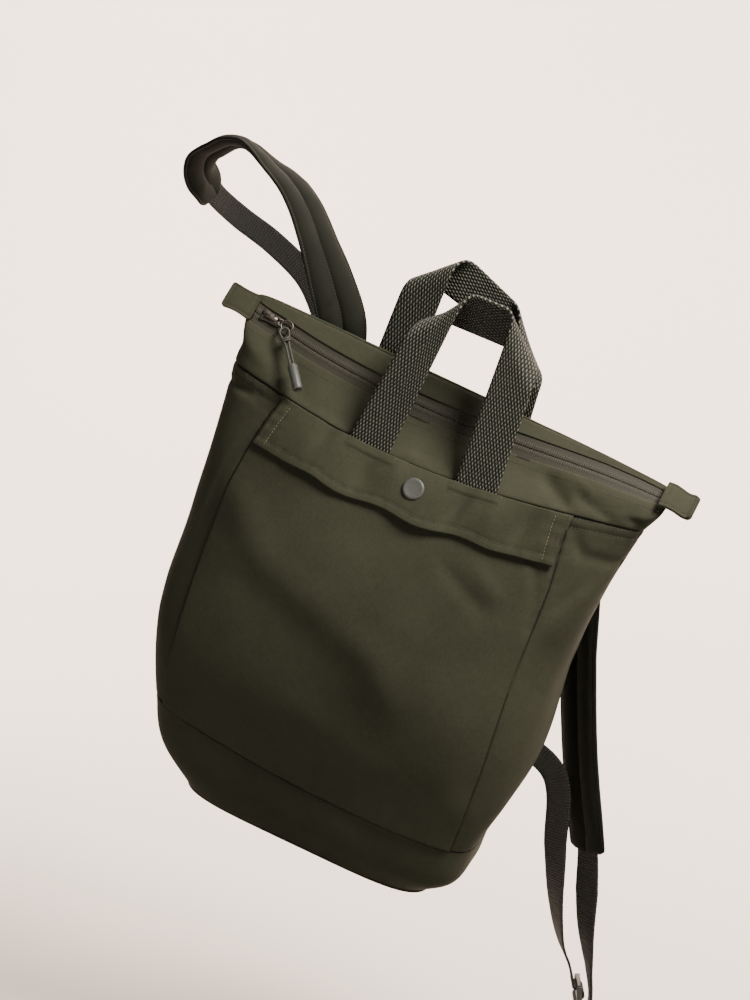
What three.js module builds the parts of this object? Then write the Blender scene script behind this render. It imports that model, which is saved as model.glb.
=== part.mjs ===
// Tote-style waterproof backpack, hung by its left shoulder strap as it is carried on one shoulder.
// Millimetres, +Z up, the bag's front towards -Y. The origin is the place on the left strap
// that bears on the shoulder. The bag itself hangs rolled to one side in its own group.
import * as THREE from 'three';

// How the bag hangs from the strap
const BAG_ROLL = THREE.MathUtils.degToRad(19.6);
const BASE_CENTRE = new THREE.Vector3(82, -75, -518);

// Cloth, webbing and padding
const CLOTH = 1.5;
const FLAP_CLOTH = 2;
const TAPE_THICK = 1.2;
const GAP = 0.3;
const WEBBING_THICK = 1.8;
const HANDLE_WIDTH = 32;
const STRAP_WEB_WIDTH = 20;
const PAD_WIDTH = 38;

// Heights on the bag before it is rolled
const BASE_SEAM = 58;
const YOKE_SEAM = 330;
const RIM = 367;
const POCKET_MOUTH = 315;
const FLAP_DROP = 42;

// Closure
const ZIP_WIDTH = 19;
const ZIP_END = 0.1;
const TAB = { length: 25, width: 21, thick: 3.6, lift: 1.8 };
const SNAP = { radius: 8.3, height: 2.2, drop: 20, turn: 0.52 };
const SLIDER = { length: 16, width: 9, height: 4.5, share: 0.03, up: 3, seat: 0.5 };
const RING = { radius: 4.6, wire: 0.8, level: 0.6 };
const PULL_CORD = { radius: 0.9, drop: 31, spread: 2.6, loop: 3.6, loopTop: -1.6, over: 2.5 };
const PULL_HANG = new THREE.Vector3(0.41, -0.56, -0.78).normalize();
const PULL_END = { radius: 3.8, length: 21 };

// Handles: flat webbing that rises from each leg and rolls over a diagonal at both top corners
// (rise of the arch's centre line, radius of the roll, lean to the back and of each leg to the middle,
// fall of the arch to the right, forward tip of its top edge, height of the foot and its distance
// from the wall)
const HANDLE_START = 2.6;
const HANDLE_FRONT = {
  leg: 43, rise: 114, roll: 8, lean: 0.1,
  closeLeft: 0.14, closeRight: 0.05, slope: 0, tuck: 0.6, z: 338, clear: 5.5,
};
const HANDLE_BACK = {
  leg: 50, rise: 102, roll: 8, lean: -0.03,
  closeLeft: 0.05, closeRight: 0.05, slope: 0.3, tuck: 0, z: 334, clear: 0.9,
};

// Level sections of the bag: half width, reach forward and back, squareness of the corners, and
// share of the half width at which the pocket seam runs
const SECTIONS = [
  { z: 0, half: 106, front: 56, back: 20, square: 4.5, seam: 0.94 },
  { z: 20, half: 129, front: 62, back: 27, square: 5, seam: 0.93 },
  { z: 58, half: 140, front: 67, back: 30, square: 5.5, seam: 0.89 },
  { z: 130, half: 158, front: 76, back: 30, square: 4.2, seam: 0.815 },
  { z: 205, half: 158, front: 68, back: 28, square: 3.3, seam: 0.81 },
  { z: 270, half: 161, front: 55, back: 25, square: 2.9, seam: 0.785 },
  { z: 330, half: 169, front: 32, back: 17, square: 2.6, seam: 0.7 },
  { z: 352, half: 171, front: 21, back: 12, square: 4, seam: 0.705 },
  { z: 367, half: 174, front: 10, back: 9, square: 8, seam: 0.7 },
];

// How each section settles: rise to the right, rise to the back, sag of the front, where across the
// front that sag is lowest, and shift of the whole section to the right
const SETTLING = [
  { z: 0, lean: 0, tilt: 0, sag: 0, low: 0, shift: 9 },
  { z: 20, lean: -0.03, tilt: 0, sag: 2, low: 0, shift: 4 },
  { z: 58, lean: -0.045, tilt: 0, sag: 6, low: -3, shift: -2 },
  { z: 130, lean: 0.01, tilt: 0, sag: 5, low: -3, shift: -5 },
  { z: 205, lean: 0.035, tilt: 0, sag: 6, low: -1, shift: -9 },
  { z: 270, lean: 0.02, tilt: 0, sag: 8, low: -9, shift: -9 },
  { z: 330, lean: 0.012, tilt: 0, sag: 14, low: -10, shift: -6 },
  { z: 352, lean: -0.01, tilt: 0.5, sag: 14, low: -36, shift: -2 },
  { z: 367, lean: -0.04, tilt: 0.88, sag: 18, low: -46, shift: -3 },
];

// Soft forms of the front: the belly of the load and the creases that run in from both shoulders
const SWELLS = [
  { x: 8, z: 200, long: 110, wide: 48, slant: -26, height: 7 },
  { x: -138, z: 344, long: 30, wide: 9, slant: -28, height: -3 },
  { x: -141, z: 318, long: 20, wide: 8, slant: 0, height: -2.5 },
  { x: 137, z: 291, long: 28, wide: 10, slant: 50, height: -3 },
];

const COLOURS = {
  cloth: 0x3b3b2f,
  tape: 0x5d5653,
  metal: 0x6f6863,
  stud: 0x7a7b77,
  webbing: 0x33342b,
  plastic: 0x1c1c1a,
};

function material(colour, roughness, metalness = 0) {
  return new THREE.MeshStandardMaterial({ color: colour, roughness, metalness });
}

function namedMesh(name, geometry, look) {
  const mesh = new THREE.Mesh(geometry, look);
  mesh.name = name;
  return mesh;
}

const clothLook = () => material(COLOURS.cloth, 0.75);
const webbingLook = () => material(COLOURS.webbing, 0.9);

// The bag's outer surface
const LEVELS = SECTIONS.map((row, i) => ({ ...row, ...SETTLING[i] }));
const SECTION_COLUMNS = Object.keys(LEVELS[0]).slice(1);
const sectionCurve = new THREE.CubicInterpolant(
  LEVELS.map((row) => row.z),
  LEVELS.flatMap((row) => SECTION_COLUMNS.map((name) => row[name])),
  SECTION_COLUMNS.length,
);

function sectionAt(z) {
  const values = sectionCurve.evaluate(z);
  return Object.fromEntries(SECTION_COLUMNS.map((name, i) => [name, values[i]]));
}

function reach(share, square) {
  return Math.max(0, 1 - Math.abs(share) ** square) ** (1 / square);
}

// How far the front stands out or in at a spot
function swell(x, z) {
  return SWELLS.reduce((sum, form) => {
    const angle = THREE.MathUtils.degToRad(form.slant);
    const dx = x - form.x;
    const dz = z - form.z;
    const along = (dx * Math.cos(angle) + dz * Math.sin(angle)) / form.long;
    const across = (dz * Math.cos(angle) - dx * Math.sin(angle)) / form.wide;
    return sum + form.height * Math.exp(-(along ** 2) - across ** 2);
  }, 0);
}

// A point of the wall: turn runs 0 to 1 along the front, 1 to 2 the right side, 2 to 3 the back
// and 3 to 4 the left side, each between the seam lines
function wallPoint(turn, z) {
  const s = sectionAt(z);
  const whole = ((turn % 4) + 4) % 4;
  const zone = Math.floor(whole);
  const t = whole - zone;
  const seamX = s.half * s.seam;
  const cornerShare = reach(s.seam, s.square);
  const point = new THREE.Vector3();
  if (zone % 2 === 0) {
    const side = zone === 0 ? 1 : -1;
    point.x = side * THREE.MathUtils.lerp(-seamX, seamX, t);
    point.y = (zone === 0 ? -s.front : s.back) * reach(point.x / s.half, s.square);
  } else {
    const across = zone === 1 ? t : 1 - t;
    point.y = THREE.MathUtils.lerp(-s.front * cornerShare, s.back * cornerShare, across);
    const depth = point.y < 0 ? s.front : s.back;
    point.x = (zone === 1 ? 1 : -1) * s.half * reach(point.y / depth, s.square);
  }
  const fromLow = (point.x - s.low) / (s.half + Math.abs(s.low));
  const sagShare = point.y < 0 ? Math.max(0, 1 - fromLow ** 2) ** 2 : 0;
  point.z = z + s.lean * point.x + s.tilt * point.y - s.sag * sagShare;
  point.x += s.shift;
  if (point.y < 0) point.y += (point.y / s.front) * swell(point.x, point.z);
  return point;
}

// The mouth spans from the front rim to the back rim at the same turn
function mouthPoint(turn, share) {
  return wallPoint(turn, RIM).lerp(wallPoint(3 - turn, RIM), share);
}

function mouthSpan(turn) {
  return wallPoint(turn, RIM).distanceTo(wallPoint(3 - turn, RIM));
}

function surfaceNormal(surface, u, v, du, dv) {
  const along = surface(u + du, v).sub(surface(u - du, v));
  const up = surface(u, v + dv).sub(surface(u, v - dv));
  return along.cross(up).normalize();
}

// A closed solid from a grid of outer points over a grid of inner points
function slab(outer, inner, wrap = false) {
  const rows = outer.length;
  const cols = outer[0].length;
  const positions = [];
  for (const grid of [outer, inner]) {
    for (const row of grid) {
      for (const p of row) positions.push(p.x, p.y, p.z);
    }
  }
  const index = [];
  const under = rows * cols;
  const id = (i, j) => j * cols + (i % cols);
  const quad = (a, b, c, d) => index.push(a, b, c, a, c, d);
  const lastCol = wrap ? cols : cols - 1;
  for (let j = 0; j < rows - 1; j += 1) {
    for (let i = 0; i < lastCol; i += 1) {
      const [a, b, c, d] = [id(i, j), id(i + 1, j), id(i + 1, j + 1), id(i, j + 1)];
      quad(a, b, c, d);
      quad(a + under, d + under, c + under, b + under);
    }
  }
  const edge = (p, q) => quad(q, p, p + under, q + under);
  for (let i = 0; i < lastCol; i += 1) {
    edge(id(i, 0), id(i + 1, 0));
    edge(id(i + 1, rows - 1), id(i, rows - 1));
  }
  if (!wrap) {
    for (let j = 0; j < rows - 1; j += 1) {
      edge(id(cols - 1, j), id(cols - 1, j + 1));
      edge(id(0, j + 1), id(0, j));
    }
  }
  const geometry = new THREE.BufferGeometry();
  geometry.setAttribute('position', new THREE.Float32BufferAttribute(positions, 3));
  geometry.setIndex(index);
  geometry.computeVertexNormals();
  return geometry;
}

function steps(from, to, count) {
  return Array.from({ length: count + 1 }, (_, i) => from + ((to - from) * i) / count);
}

// Cloth laid on a surface, from its inner to its outer height above that surface
function cloth(surface, us, vs, low, high, step, wrap = false) {
  const lift = (height) => vs.map((v) => us.map((u) => {
    const normal = surfaceNormal(surface, u, v, step.u, step.v);
    const rise = typeof height === 'function' ? height(u, v) : height;
    return surface(u, v).addScaledVector(normal, rise);
  }));
  return slab(lift(high), lift(low), wrap);
}

const WALL_STEP = { u: 0.004, v: 0.5 };
const FRONT_COLS = 14;
const SIDE_COLS = 7;
const TURN_TRIM = { front: 0.0007, side: 0.0018 };

function trimmed(from, to, count, trim) {
  const us = steps(from, to, count);
  us[0] += trim;
  us[count] -= trim;
  return us;
}

const WALL_ROWS = [
  BASE_SEAM + GAP / 2, 84, 112, 145, 180, 214, 246, 274, 297, POCKET_MOUTH, YOKE_SEAM - GAP / 2,
];
const frontTurns = trimmed(0, 1, FRONT_COLS, TURN_TRIM.front);
const rightTurns = trimmed(1, 2, SIDE_COLS, TURN_TRIM.side);
const backTurns = trimmed(2, 3, FRONT_COLS, TURN_TRIM.front);
const leftTurns = trimmed(3, 4, SIDE_COLS, TURN_TRIM.side);

function wallPanel(name, turns, rows, low = -CLOTH, high = 0) {
  return namedMesh(name, cloth(wallPoint, turns, rows, low, high, WALL_STEP), clothLook());
}

// Bottom of the bag and the band round it
function makeBase() {
  const turns = [
    ...steps(0, 1, FRONT_COLS).slice(0, -1),
    ...steps(1, 2, SIDE_COLS).slice(0, -1),
    ...steps(2, 3, FRONT_COLS).slice(0, -1),
    ...steps(3, 4, SIDE_COLS).slice(0, -1),
  ];
  const rows = [0, 5, 11, 20, 36, BASE_SEAM - GAP / 2];
  const bandCloth = cloth(wallPoint, turns, rows, -CLOTH, 0, WALL_STEP, true);
  const band = namedMesh('base_band', bandCloth, clothLook());
  const outline = new THREE.Shape(turns.map((turn) => {
    const p = wallPoint(turn, 0);
    return new THREE.Vector2(p.x, p.y);
  }));
  const plate = new THREE.ExtrudeGeometry(outline, { depth: CLOTH, bevelEnabled: false });
  plate.translate(0, 0, -CLOTH - GAP);
  return [band, namedMesh('base_panel', plate, clothLook())];
}

// Walls between the base band and the yoke, and the flat pocket over the front one
function makeWalls() {
  const pocketRows = WALL_ROWS.filter((z) => z <= POCKET_MOUTH);
  return [
    wallPanel('front_panel', frontTurns, WALL_ROWS),
    wallPanel('side_panel_right', rightTurns, WALL_ROWS),
    wallPanel('back_panel', backTurns, WALL_ROWS),
    wallPanel('side_panel_left', leftTurns, WALL_ROWS),
    wallPanel('pocket_panel', frontTurns, pocketRows, GAP, GAP + CLOTH),
  ];
}

// Yoke walls above the yoke seam, and the facing that folds forward from the back ridge to the zip
function makeYokes() {
  const rows = [YOKE_SEAM + GAP / 2, 338, 346, 353, 360, RIM - GAP];
  const sideHalf = Math.ceil(SIDE_COLS / 2);
  const half = (from, to) => trimmed(from, to, sideHalf, TURN_TRIM.side);
  const frontRun = [...half(-0.5, 0).slice(0, -1), ...steps(0, 1, FRONT_COLS), ...half(1, 1.5).slice(1)];
  const backRun = [...half(1.5, 2).slice(0, -1), ...steps(2, 3, FRONT_COLS), ...half(3, 3.5).slice(1)];
  return [
    wallPanel('yoke_front', frontRun, rows),
    wallPanel('yoke_back', backRun, rows),
  ];
}

// Zip: two coated tapes that meet on the centre line, and the facing from the upper tape to the ridge
const MOUTH_EDGE = 2.2;
const RIDGE_EDGE = 6.6;
const mouthTurns = [
  ...steps(-ZIP_END, 0, 3).slice(0, -1),
  ...steps(0, 1, FRONT_COLS),
  ...steps(1, 1 + ZIP_END, 3).slice(1),
];

function zipShare(turn) {
  return Math.min(0.8, (ZIP_WIDTH + MOUTH_EDGE) / mouthSpan(turn));
}

function mouthStrip(from, to) {
  return (turn, across) => {
    const span = mouthSpan(turn);
    const edge = MOUTH_EDGE / span;
    const middle = (edge + zipShare(turn)) / 2;
    const stops = [edge, middle, zipShare(turn), 1 - RIDGE_EDGE / span];
    const gap = GAP / 2 / span;
    return mouthPoint(turn, THREE.MathUtils.lerp(stops[from] + gap, stops[to] - gap, across));
  };
}

function makeMouth() {
  const step = { u: 0.004, v: 0.05 };
  const strip = (name, from, to, thick, look) => namedMesh(
    name,
    cloth(mouthStrip(from, to), mouthTurns, [0, 1], -thick, 0, step),
    look,
  );
  const tapeLook = () => material(COLOURS.tape, 0.6);
  return [
    strip('zip_tape_front', 0, 1, TAPE_THICK, tapeLook()),
    strip('zip_tape_back', 1, 2, TAPE_THICK, tapeLook()),
    strip('mouth_facing', 2, 3, CLOTH, clothLook()),
  ];
}

// A right-handed frame on the mouth: along the zip to the right, across it to the back, and out
function mouthFrame(turn) {
  const along = mouthPoint(turn + 0.01, 0.5).sub(mouthPoint(turn - 0.01, 0.5)).normalize();
  const across = mouthPoint(turn, 0.9).sub(mouthPoint(turn, 0.1)).normalize();
  const out = along.clone().cross(across).normalize();
  across.copy(out).cross(along);
  return { along, across, out };
}

function placed(mesh, origin, along, across, out) {
  mesh.quaternion.setFromRotationMatrix(new THREE.Matrix4().makeBasis(along, across, out));
  mesh.position.copy(origin);
  return mesh;
}

function roundedRect(length, width, radius) {
  const shape = new THREE.Shape();
  const x = length / 2;
  const y = width / 2;
  shape.moveTo(-x + radius, -y);
  shape.lineTo(x - radius, -y);
  shape.absarc(x - radius, -y + radius, radius, -Math.PI / 2, 0);
  shape.lineTo(x, y - radius);
  shape.absarc(x - radius, y - radius, radius, 0, Math.PI / 2);
  shape.lineTo(-x + radius, y);
  shape.absarc(-x + radius, y - radius, radius, Math.PI / 2, Math.PI);
  shape.lineTo(-x, -y + radius);
  shape.absarc(-x + radius, -y + radius, radius, Math.PI, 1.5 * Math.PI);
  return shape;
}

function plate(length, width, thick, radius) {
  return new THREE.ExtrudeGeometry(roundedRect(length, width, radius), {
    depth: thick, bevelEnabled: false, curveSegments: 3,
  });
}

// Folded cloth tabs that close the two ends of the zip and stand out past the bag's shoulders
const TAB_ENDS = [
  { name: 'zip_tab_left', turn: -0.12, level: -0.06, side: -1 },
  { name: 'zip_tab_right', turn: 1.12, level: 1.06, side: 1 },
];
const TAB_OVERLAP = 2;

function makeZipTabs() {
  return TAB_ENDS.map(({ name, turn, level, side }) => {
    const { along, across, out } = mouthFrame(level);
    const centre = mouthPoint(turn, 0.5)
      .addScaledVector(along, side * (TAB.length / 2 - TAB_OVERLAP))
      .addScaledVector(out, TAB.lift);
    const mesh = namedMesh(name, plate(TAB.length, TAB.width, TAB.thick, 1.5), clothLook());
    return placed(mesh, centre, along, across, out);
  });
}

// Pocket flap: hangs from the yoke seam, its free edge waving a little away from the pocket
const FLAP_EDGE = { stand: 3, least: 0.1, mean: 0.6 };
const FLAP_WAVES = [
  { size: 0.5, turns: 17, start: 1.2 },
  { size: 0.4, turns: 9, start: 0 },
];

function flapLift(turn, z) {
  const drop = (YOKE_SEAM - z) / FLAP_DROP;
  const wave = FLAP_WAVES.reduce(
    (sum, w) => sum + w.size * Math.sin(turn * w.turns + w.start),
    FLAP_EDGE.mean,
  );
  return CLOTH + 3 * GAP + FLAP_EDGE.stand * drop * drop * Math.max(FLAP_EDGE.least, wave);
}

function makeFlap() {
  const turns = trimmed(0, 1, 24, 0.012);
  const rows = steps(YOKE_SEAM - 1, YOKE_SEAM - FLAP_DROP, 4).reverse();
  const geometry = cloth(
    wallPoint,
    turns,
    rows,
    flapLift,
    (turn, z) => flapLift(turn, z) + FLAP_CLOTH,
    WALL_STEP,
  );
  const z = YOKE_SEAM - SNAP.drop;
  const out = surfaceNormal(wallPoint, SNAP.turn, z, WALL_STEP.u, WALL_STEP.v);
  const stand = flapLift(SNAP.turn, z) + FLAP_CLOTH + GAP;
  const seat = wallPoint(SNAP.turn, z).addScaledVector(out, stand);
  const profile = [
    [0, 0], [SNAP.radius, 0], [SNAP.radius, 0.9], [SNAP.radius - 1.2, 1.8], [0, SNAP.height],
  ];
  const cap = new THREE.LatheGeometry(profile.map(([r, h]) => new THREE.Vector2(r, h)), 20);
  const stud = namedMesh('snap_cap', cap, material(COLOURS.stud, 0.6));
  stud.position.copy(seat);
  stud.quaternion.setFromUnitVectors(new THREE.Vector3(0, 1, 0), out);
  return [namedMesh('flap', geometry, clothLook()), stud];
}

// Half of a handle as flat webbing: across and up from the seam, rolled back over a diagonal
function rolledStrip(handle, across, up) {
  const x = -handle.leg + across;
  const bend = (up - x) / Math.SQRT2;
  const along = (up + x) / Math.SQRT2;
  const rollLength = Math.PI * handle.roll;
  const start = (handle.rise + handle.leg) / Math.SQRT2 - rollLength / 2;
  let height = bend;
  let back = 0;
  let over = 0;
  if (bend > start + rollLength) {
    height = 2 * start + rollLength - bend;
    back = 2 * handle.roll;
    over = 1;
  } else if (bend > start) {
    const angle = (bend - start) / handle.roll;
    height = start + handle.roll * Math.sin(angle);
    back = handle.roll * (1 - Math.cos(angle));
    over = angle / Math.PI;
  }
  const rise = (along + height) / Math.SQRT2;
  back -= handle.tuck * over * (rise - handle.rise);
  return { x: (along - height) / Math.SQRT2, up: rise, back };
}

function makeHandle(name, handle, seamTurn) {
  const half = handle.rise + handle.leg;
  const foot = wallPoint(seamTurn, handle.z);
  const outward = Math.sign(foot.y);
  const footY = foot.y + outward * handle.clear;
  const strip = (across, s) => {
    const mirror = s > half ? -1 : 1;
    const p = rolledStrip(handle, across, mirror > 0 ? s : 2 * half - s);
    const close = mirror > 0 ? handle.closeLeft : -handle.closeRight;
    const x = foot.x + mirror * p.x + close * p.up * Math.min(1, -p.x / handle.leg);
    const up = p.up * (1 - (handle.slope * mirror * p.x) / handle.rise);
    return new THREE.Vector3(x, footY + handle.lean * p.up + p.back, foot.z + up);
  };
  const spread = steps(-HANDLE_WIDTH / 2, HANDLE_WIDTH / 2, 4);
  const run = [...steps(HANDLE_START, 80, 4), ...steps(86, half - 4, 14), half];
  const full = [...run, ...run.slice(0, -1).reverse().map((s) => 2 * half - s)];
  const t = WEBBING_THICK / 2;
  return namedMesh(name, cloth(strip, spread, full, -t, t, { u: 0.2, v: 0.2 }), webbingLook());
}

// Straps follow a centre line, each point with the direction that its outer face looks
function ribbon(curve, count, facing, section) {
  const rings = steps(0, 1, count).map((u) => {
    const centre = curve.getPoint(u);
    const travel = curve.getTangent(u);
    const out = facing(u, travel);
    const wide = out.clone().cross(travel).normalize();
    return section(u).map(([w, h]) => centre.clone().addScaledVector(wide, w).addScaledVector(out, h));
  });
  return tubeFromRings(rings);
}

// A closed solid from rings of points that run anticlockwise seen against the direction of travel
function tubeFromRings(rings) {
  const size = rings[0].length;
  const positions = rings.flat().flatMap((p) => [p.x, p.y, p.z]);
  const index = [];
  for (let r = 0; r < rings.length - 1; r += 1) {
    for (let k = 0; k < size; k += 1) {
      const a = r * size + k;
      const b = r * size + ((k + 1) % size);
      index.push(a, b, b + size, a, b + size, a + size);
    }
  }
  const last = (rings.length - 1) * size;
  for (let k = 0; k < size / 2 - 1; k += 1) {
    const far = size - 1 - k;
    index.push(k, far, far - 1, k, far - 1, k + 1);
    index.push(last + k, last + k + 1, last + far - 1, last + k, last + far - 1, last + far);
  }
  const geometry = new THREE.BufferGeometry();
  geometry.setAttribute('position', new THREE.Float32BufferAttribute(positions, 3));
  geometry.setIndex(index);
  geometry.computeVertexNormals();
  return geometry;
}

// Section of a padded strap: bound edges, two rolls of padding and the stitched channel between them
const PAD_PROFILE = [
  { across: -1, half: 1.3 },
  { across: -0.86, half: 2.6 },
  { across: -0.5, half: 4.2 },
  { across: -0.14, half: 3.6 },
  { across: 0, half: 2.6 },
  { across: 0.14, half: 3.6 },
  { across: 0.5, half: 4.2 },
  { across: 0.86, half: 2.6 },
  { across: 1, half: 1.3 },
];

// The padding thins out to the bare cloth where the strap is sewn on or off at its ends
const PAD_END = { fullness: 0.35, gain: 9 };

function padSection(u) {
  const fullness = Math.min(1, PAD_END.fullness + PAD_END.gain * Math.min(u, 1 - u));
  const lower = PAD_PROFILE.map((p) => [(p.across * PAD_WIDTH) / 2, -p.half * fullness]);
  const upper = PAD_PROFILE.map((p) => [(p.across * PAD_WIDTH) / 2, p.half * fullness]).reverse();
  return [...lower, ...upper];
}

function webSection() {
  const w = STRAP_WEB_WIDTH / 2;
  const t = WEBBING_THICK / 2;
  return [[-w, -t], [w, -t], [w, t], [-w, t]];
}

// Places along the straps. The left strap rises from the bag's back, bears on the shoulder at the
// origin and comes down again behind, its face tipping over from front to back; the right one hangs
// slack, each row with the turn of its face about the vertical
const LEFT_PAD = [
  { x: 105, y: -55, z: -124, tip: 5 },
  { x: 96, y: -52, z: -93, tip: 24 },
  { x: 84, y: -45, z: -65, tip: 41 },
  { x: 69, y: -34, z: -38, tip: 49 },
  { x: 55, y: -26, z: -22, tip: 57 },
  { x: 36, y: -16, z: -10, tip: 72 },
  { x: 14, y: -5, z: 2.5, tip: 83 },
  { x: 0, y: 0, z: 4.2, tip: 88 },
  { x: -18, y: 9, z: -2, tip: 96 },
  { x: -33, y: 20, z: -12, tip: 110 },
  { x: -42, y: 38, z: -28, tip: 130 },
  { x: -40, y: 60, z: -47, tip: 155 },
];
const LEFT_WEB_UPPER = [
  { x: -39, y: 61.5, z: -48.5, tip: 155 },
  { x: -27, y: 82, z: -68, tip: 165 },
  { x: -4, y: 101, z: -92, tip: 172 },
  { x: 22, y: 110, z: -122, tip: 178 },
  { x: 38, y: 110, z: -160, tip: 180 },
  { x: 43.4, y: 106.5, z: -179.6, tip: 180 },
];
const LEFT_WEB_LOWER = [
  { x: 48, y: 101, z: -199.4 },
  { x: 51, y: 86, z: -245 },
  { x: 42, y: 44, z: -310 },
  { x: 32, y: -4, z: -344 },
  { x: 24, y: -35, z: -366 },
];
const RIGHT_PAD = [
  { x: 292, y: -46, z: -258, face: 0 },
  { x: 291, y: -41, z: -291, face: -12 },
  { x: 290, y: -35, z: -373, face: -33 },
  { x: 293, y: -35, z: -456, face: -33 },
  { x: 302, y: -37, z: -539, face: -33 },
];
const RIGHT_WEB_UPPER = [
  { x: 302, y: -37, z: -540, face: -20 },
  { x: 302, y: -37, z: -573, face: -20 },
  { x: 302, y: -37, z: -606, face: -40 },
  { x: 305, y: -37, z: -640, face: -64 },
  { x: 307, y: -37, z: -664, face: -73 },
  { x: 306, y: -37, z: -676, face: -73 },
  { x: 302, y: -37, z: -681, face: -73 },
  { x: 298, y: -37, z: -677, face: -73 },
  { x: 297, y: -37, z: -670, face: -73 },
];
const RIGHT_WEB_LOWER = [
  { x: 273, y: -41, z: -473, face: 0 },
  { x: 276, y: -39, z: -539, face: -20 },
  { x: 277, y: -38, z: -585, face: -45 },
  { x: 282, y: -38, z: -620, face: -64 },
  { x: 290, y: -37, z: -642, face: -73 },
  { x: 294, y: -37, z: -650, face: -73 },
];
const LOOP_FRONT = new THREE.Vector3(0.285, -0.92, 0.267);
const BEHIND = new THREE.Vector3(0, 1, 0.05);
const STRAP_HEADS = { turnLeft: 2.917, turnRight: 2.083, z: 347, clearLeft: 5.5, clearRight: 2.2 };
const STRAP_FEET = { turnLeft: 2.9, turnRight: 2.1, zLeft: 100, zRight: 122 };
const ADJUSTER_RIGHT = new THREE.Vector3(297, -37, -660.5);
const ADJUSTER = { length: 18, width: 27, thick: 4.5, slot: 3.6 };

const vector = (row) => new THREE.Vector3(row.x, row.y, row.z);

function route(rows) {
  return new THREE.CatmullRomCurve3(rows.map(vector), false, 'centripetal');
}

// A spot just clear of the bag's wall, in the space that the straps hang in
function onBag(turn, z, clear) {
  const out = surfaceNormal(wallPoint, turn, z, WALL_STEP.u, WALL_STEP.v);
  return bag.localToWorld(wallPoint(turn, z).addScaledVector(out, clear));
}

// An angle given row by row, in between
function angleAlong(rows, column) {
  return (u) => {
    const place = u * (rows.length - 1);
    const i = Math.min(rows.length - 2, Math.floor(place));
    const degrees = THREE.MathUtils.lerp(rows[i][column], rows[i + 1][column], place - i);
    return THREE.MathUtils.degToRad(degrees);
  };
}

function squareTo(travel, face) {
  return face.clone().addScaledVector(travel, -face.dot(travel)).normalize();
}

function hangingFace(rows) {
  const angle = angleAlong(rows, 'face');
  return (u, travel) => squareTo(travel, new THREE.Vector3(Math.sin(angle(u)), -Math.cos(angle(u)), 0));
}

function loopFace(rows) {
  const tip = angleAlong(rows, 'tip');
  return (u, travel) => squareTo(travel, LOOP_FRONT).applyAxisAngle(travel, tip(u));
}

const behindFace = (u, travel) => squareTo(travel, BEHIND);

function makeStraps() {
  const footClear = GAP + WEBBING_THICK / 2;
  const leftHead = { ...onBag(STRAP_HEADS.turnLeft, STRAP_HEADS.z, STRAP_HEADS.clearLeft), tip: 0 };
  const rightHead = { ...onBag(STRAP_HEADS.turnRight, STRAP_HEADS.z, STRAP_HEADS.clearRight), face: 0 };
  const leftFoot = onBag(STRAP_FEET.turnLeft, STRAP_FEET.zLeft, footClear);
  const rightFoot = { ...onBag(STRAP_FEET.turnRight, STRAP_FEET.zRight, footClear), face: 0 };
  const leftPad = [leftHead, ...LEFT_PAD];
  const rightPad = [rightHead, ...RIGHT_PAD];
  const leftLower = [...LEFT_WEB_LOWER, leftFoot];
  const rightLower = [rightFoot, ...RIGHT_WEB_LOWER];
  const pad = (name, rows, count, facing) => namedMesh(
    name,
    ribbon(route(rows), count, facing, padSection),
    clothLook(),
  );
  const web = (name, rows, count, facing) => namedMesh(
    name,
    ribbon(route(rows), count, facing, webSection),
    webbingLook(),
  );
  return [
    pad('strap_pad_left', leftPad, 26, loopFace(leftPad)),
    pad('strap_pad_right', rightPad, 18, hangingFace(rightPad)),
    web('strap_web_left_upper', LEFT_WEB_UPPER, 14, loopFace(LEFT_WEB_UPPER)),
    web('strap_web_left_lower', leftLower, 14, behindFace),
    web('strap_web_right_upper', RIGHT_WEB_UPPER, 22, hangingFace(RIGHT_WEB_UPPER)),
    web('strap_web_right_lower', rightLower, 20, hangingFace(rightLower)),
  ];
}

// Plastic slider buckles: a flat frame with two slots, between the upper and the lower webbing
function adjusterGeometry() {
  const outline = roundedRect(ADJUSTER.width, ADJUSTER.length, 3);
  for (const side of [-1, 1]) {
    const slot = roundedRect(ADJUSTER.width - 6, ADJUSTER.slot, 1);
    const points = slot.getPoints(3).map((p) => new THREE.Vector2(p.x, p.y + side * 4));
    outline.holes.push(new THREE.Path(points));
  }
  const geometry = new THREE.ExtrudeGeometry(outline, {
    depth: ADJUSTER.thick, bevelEnabled: false, curveSegments: 3,
  });
  geometry.translate(0, 0, -ADJUSTER.thick / 2);
  return geometry;
}

function makeAdjuster(name, centre, travel, out) {
  const wide = travel.clone().cross(out);
  const mesh = namedMesh(name, adjusterGeometry(), material(COLOURS.plastic, 0.5));
  return placed(mesh, centre, wide, travel, out);
}

function makeAdjusters() {
  const upperEnd = vector(LEFT_WEB_UPPER.at(-1));
  const lowerStart = vector(LEFT_WEB_LOWER[0]);
  const leftCentre = upperEnd.clone().lerp(lowerStart, 0.5);
  const leftTravel = upperEnd.clone().sub(lowerStart).normalize();
  const up = new THREE.Vector3(0, 0, 1);
  return [
    makeAdjuster('adjuster_left', leftCentre, leftTravel, behindFace(1, leftTravel)),
    makeAdjuster('adjuster_right', ADJUSTER_RIGHT, up, hangingFace(RIGHT_WEB_UPPER)(1, up)),
  ];
}

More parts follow.
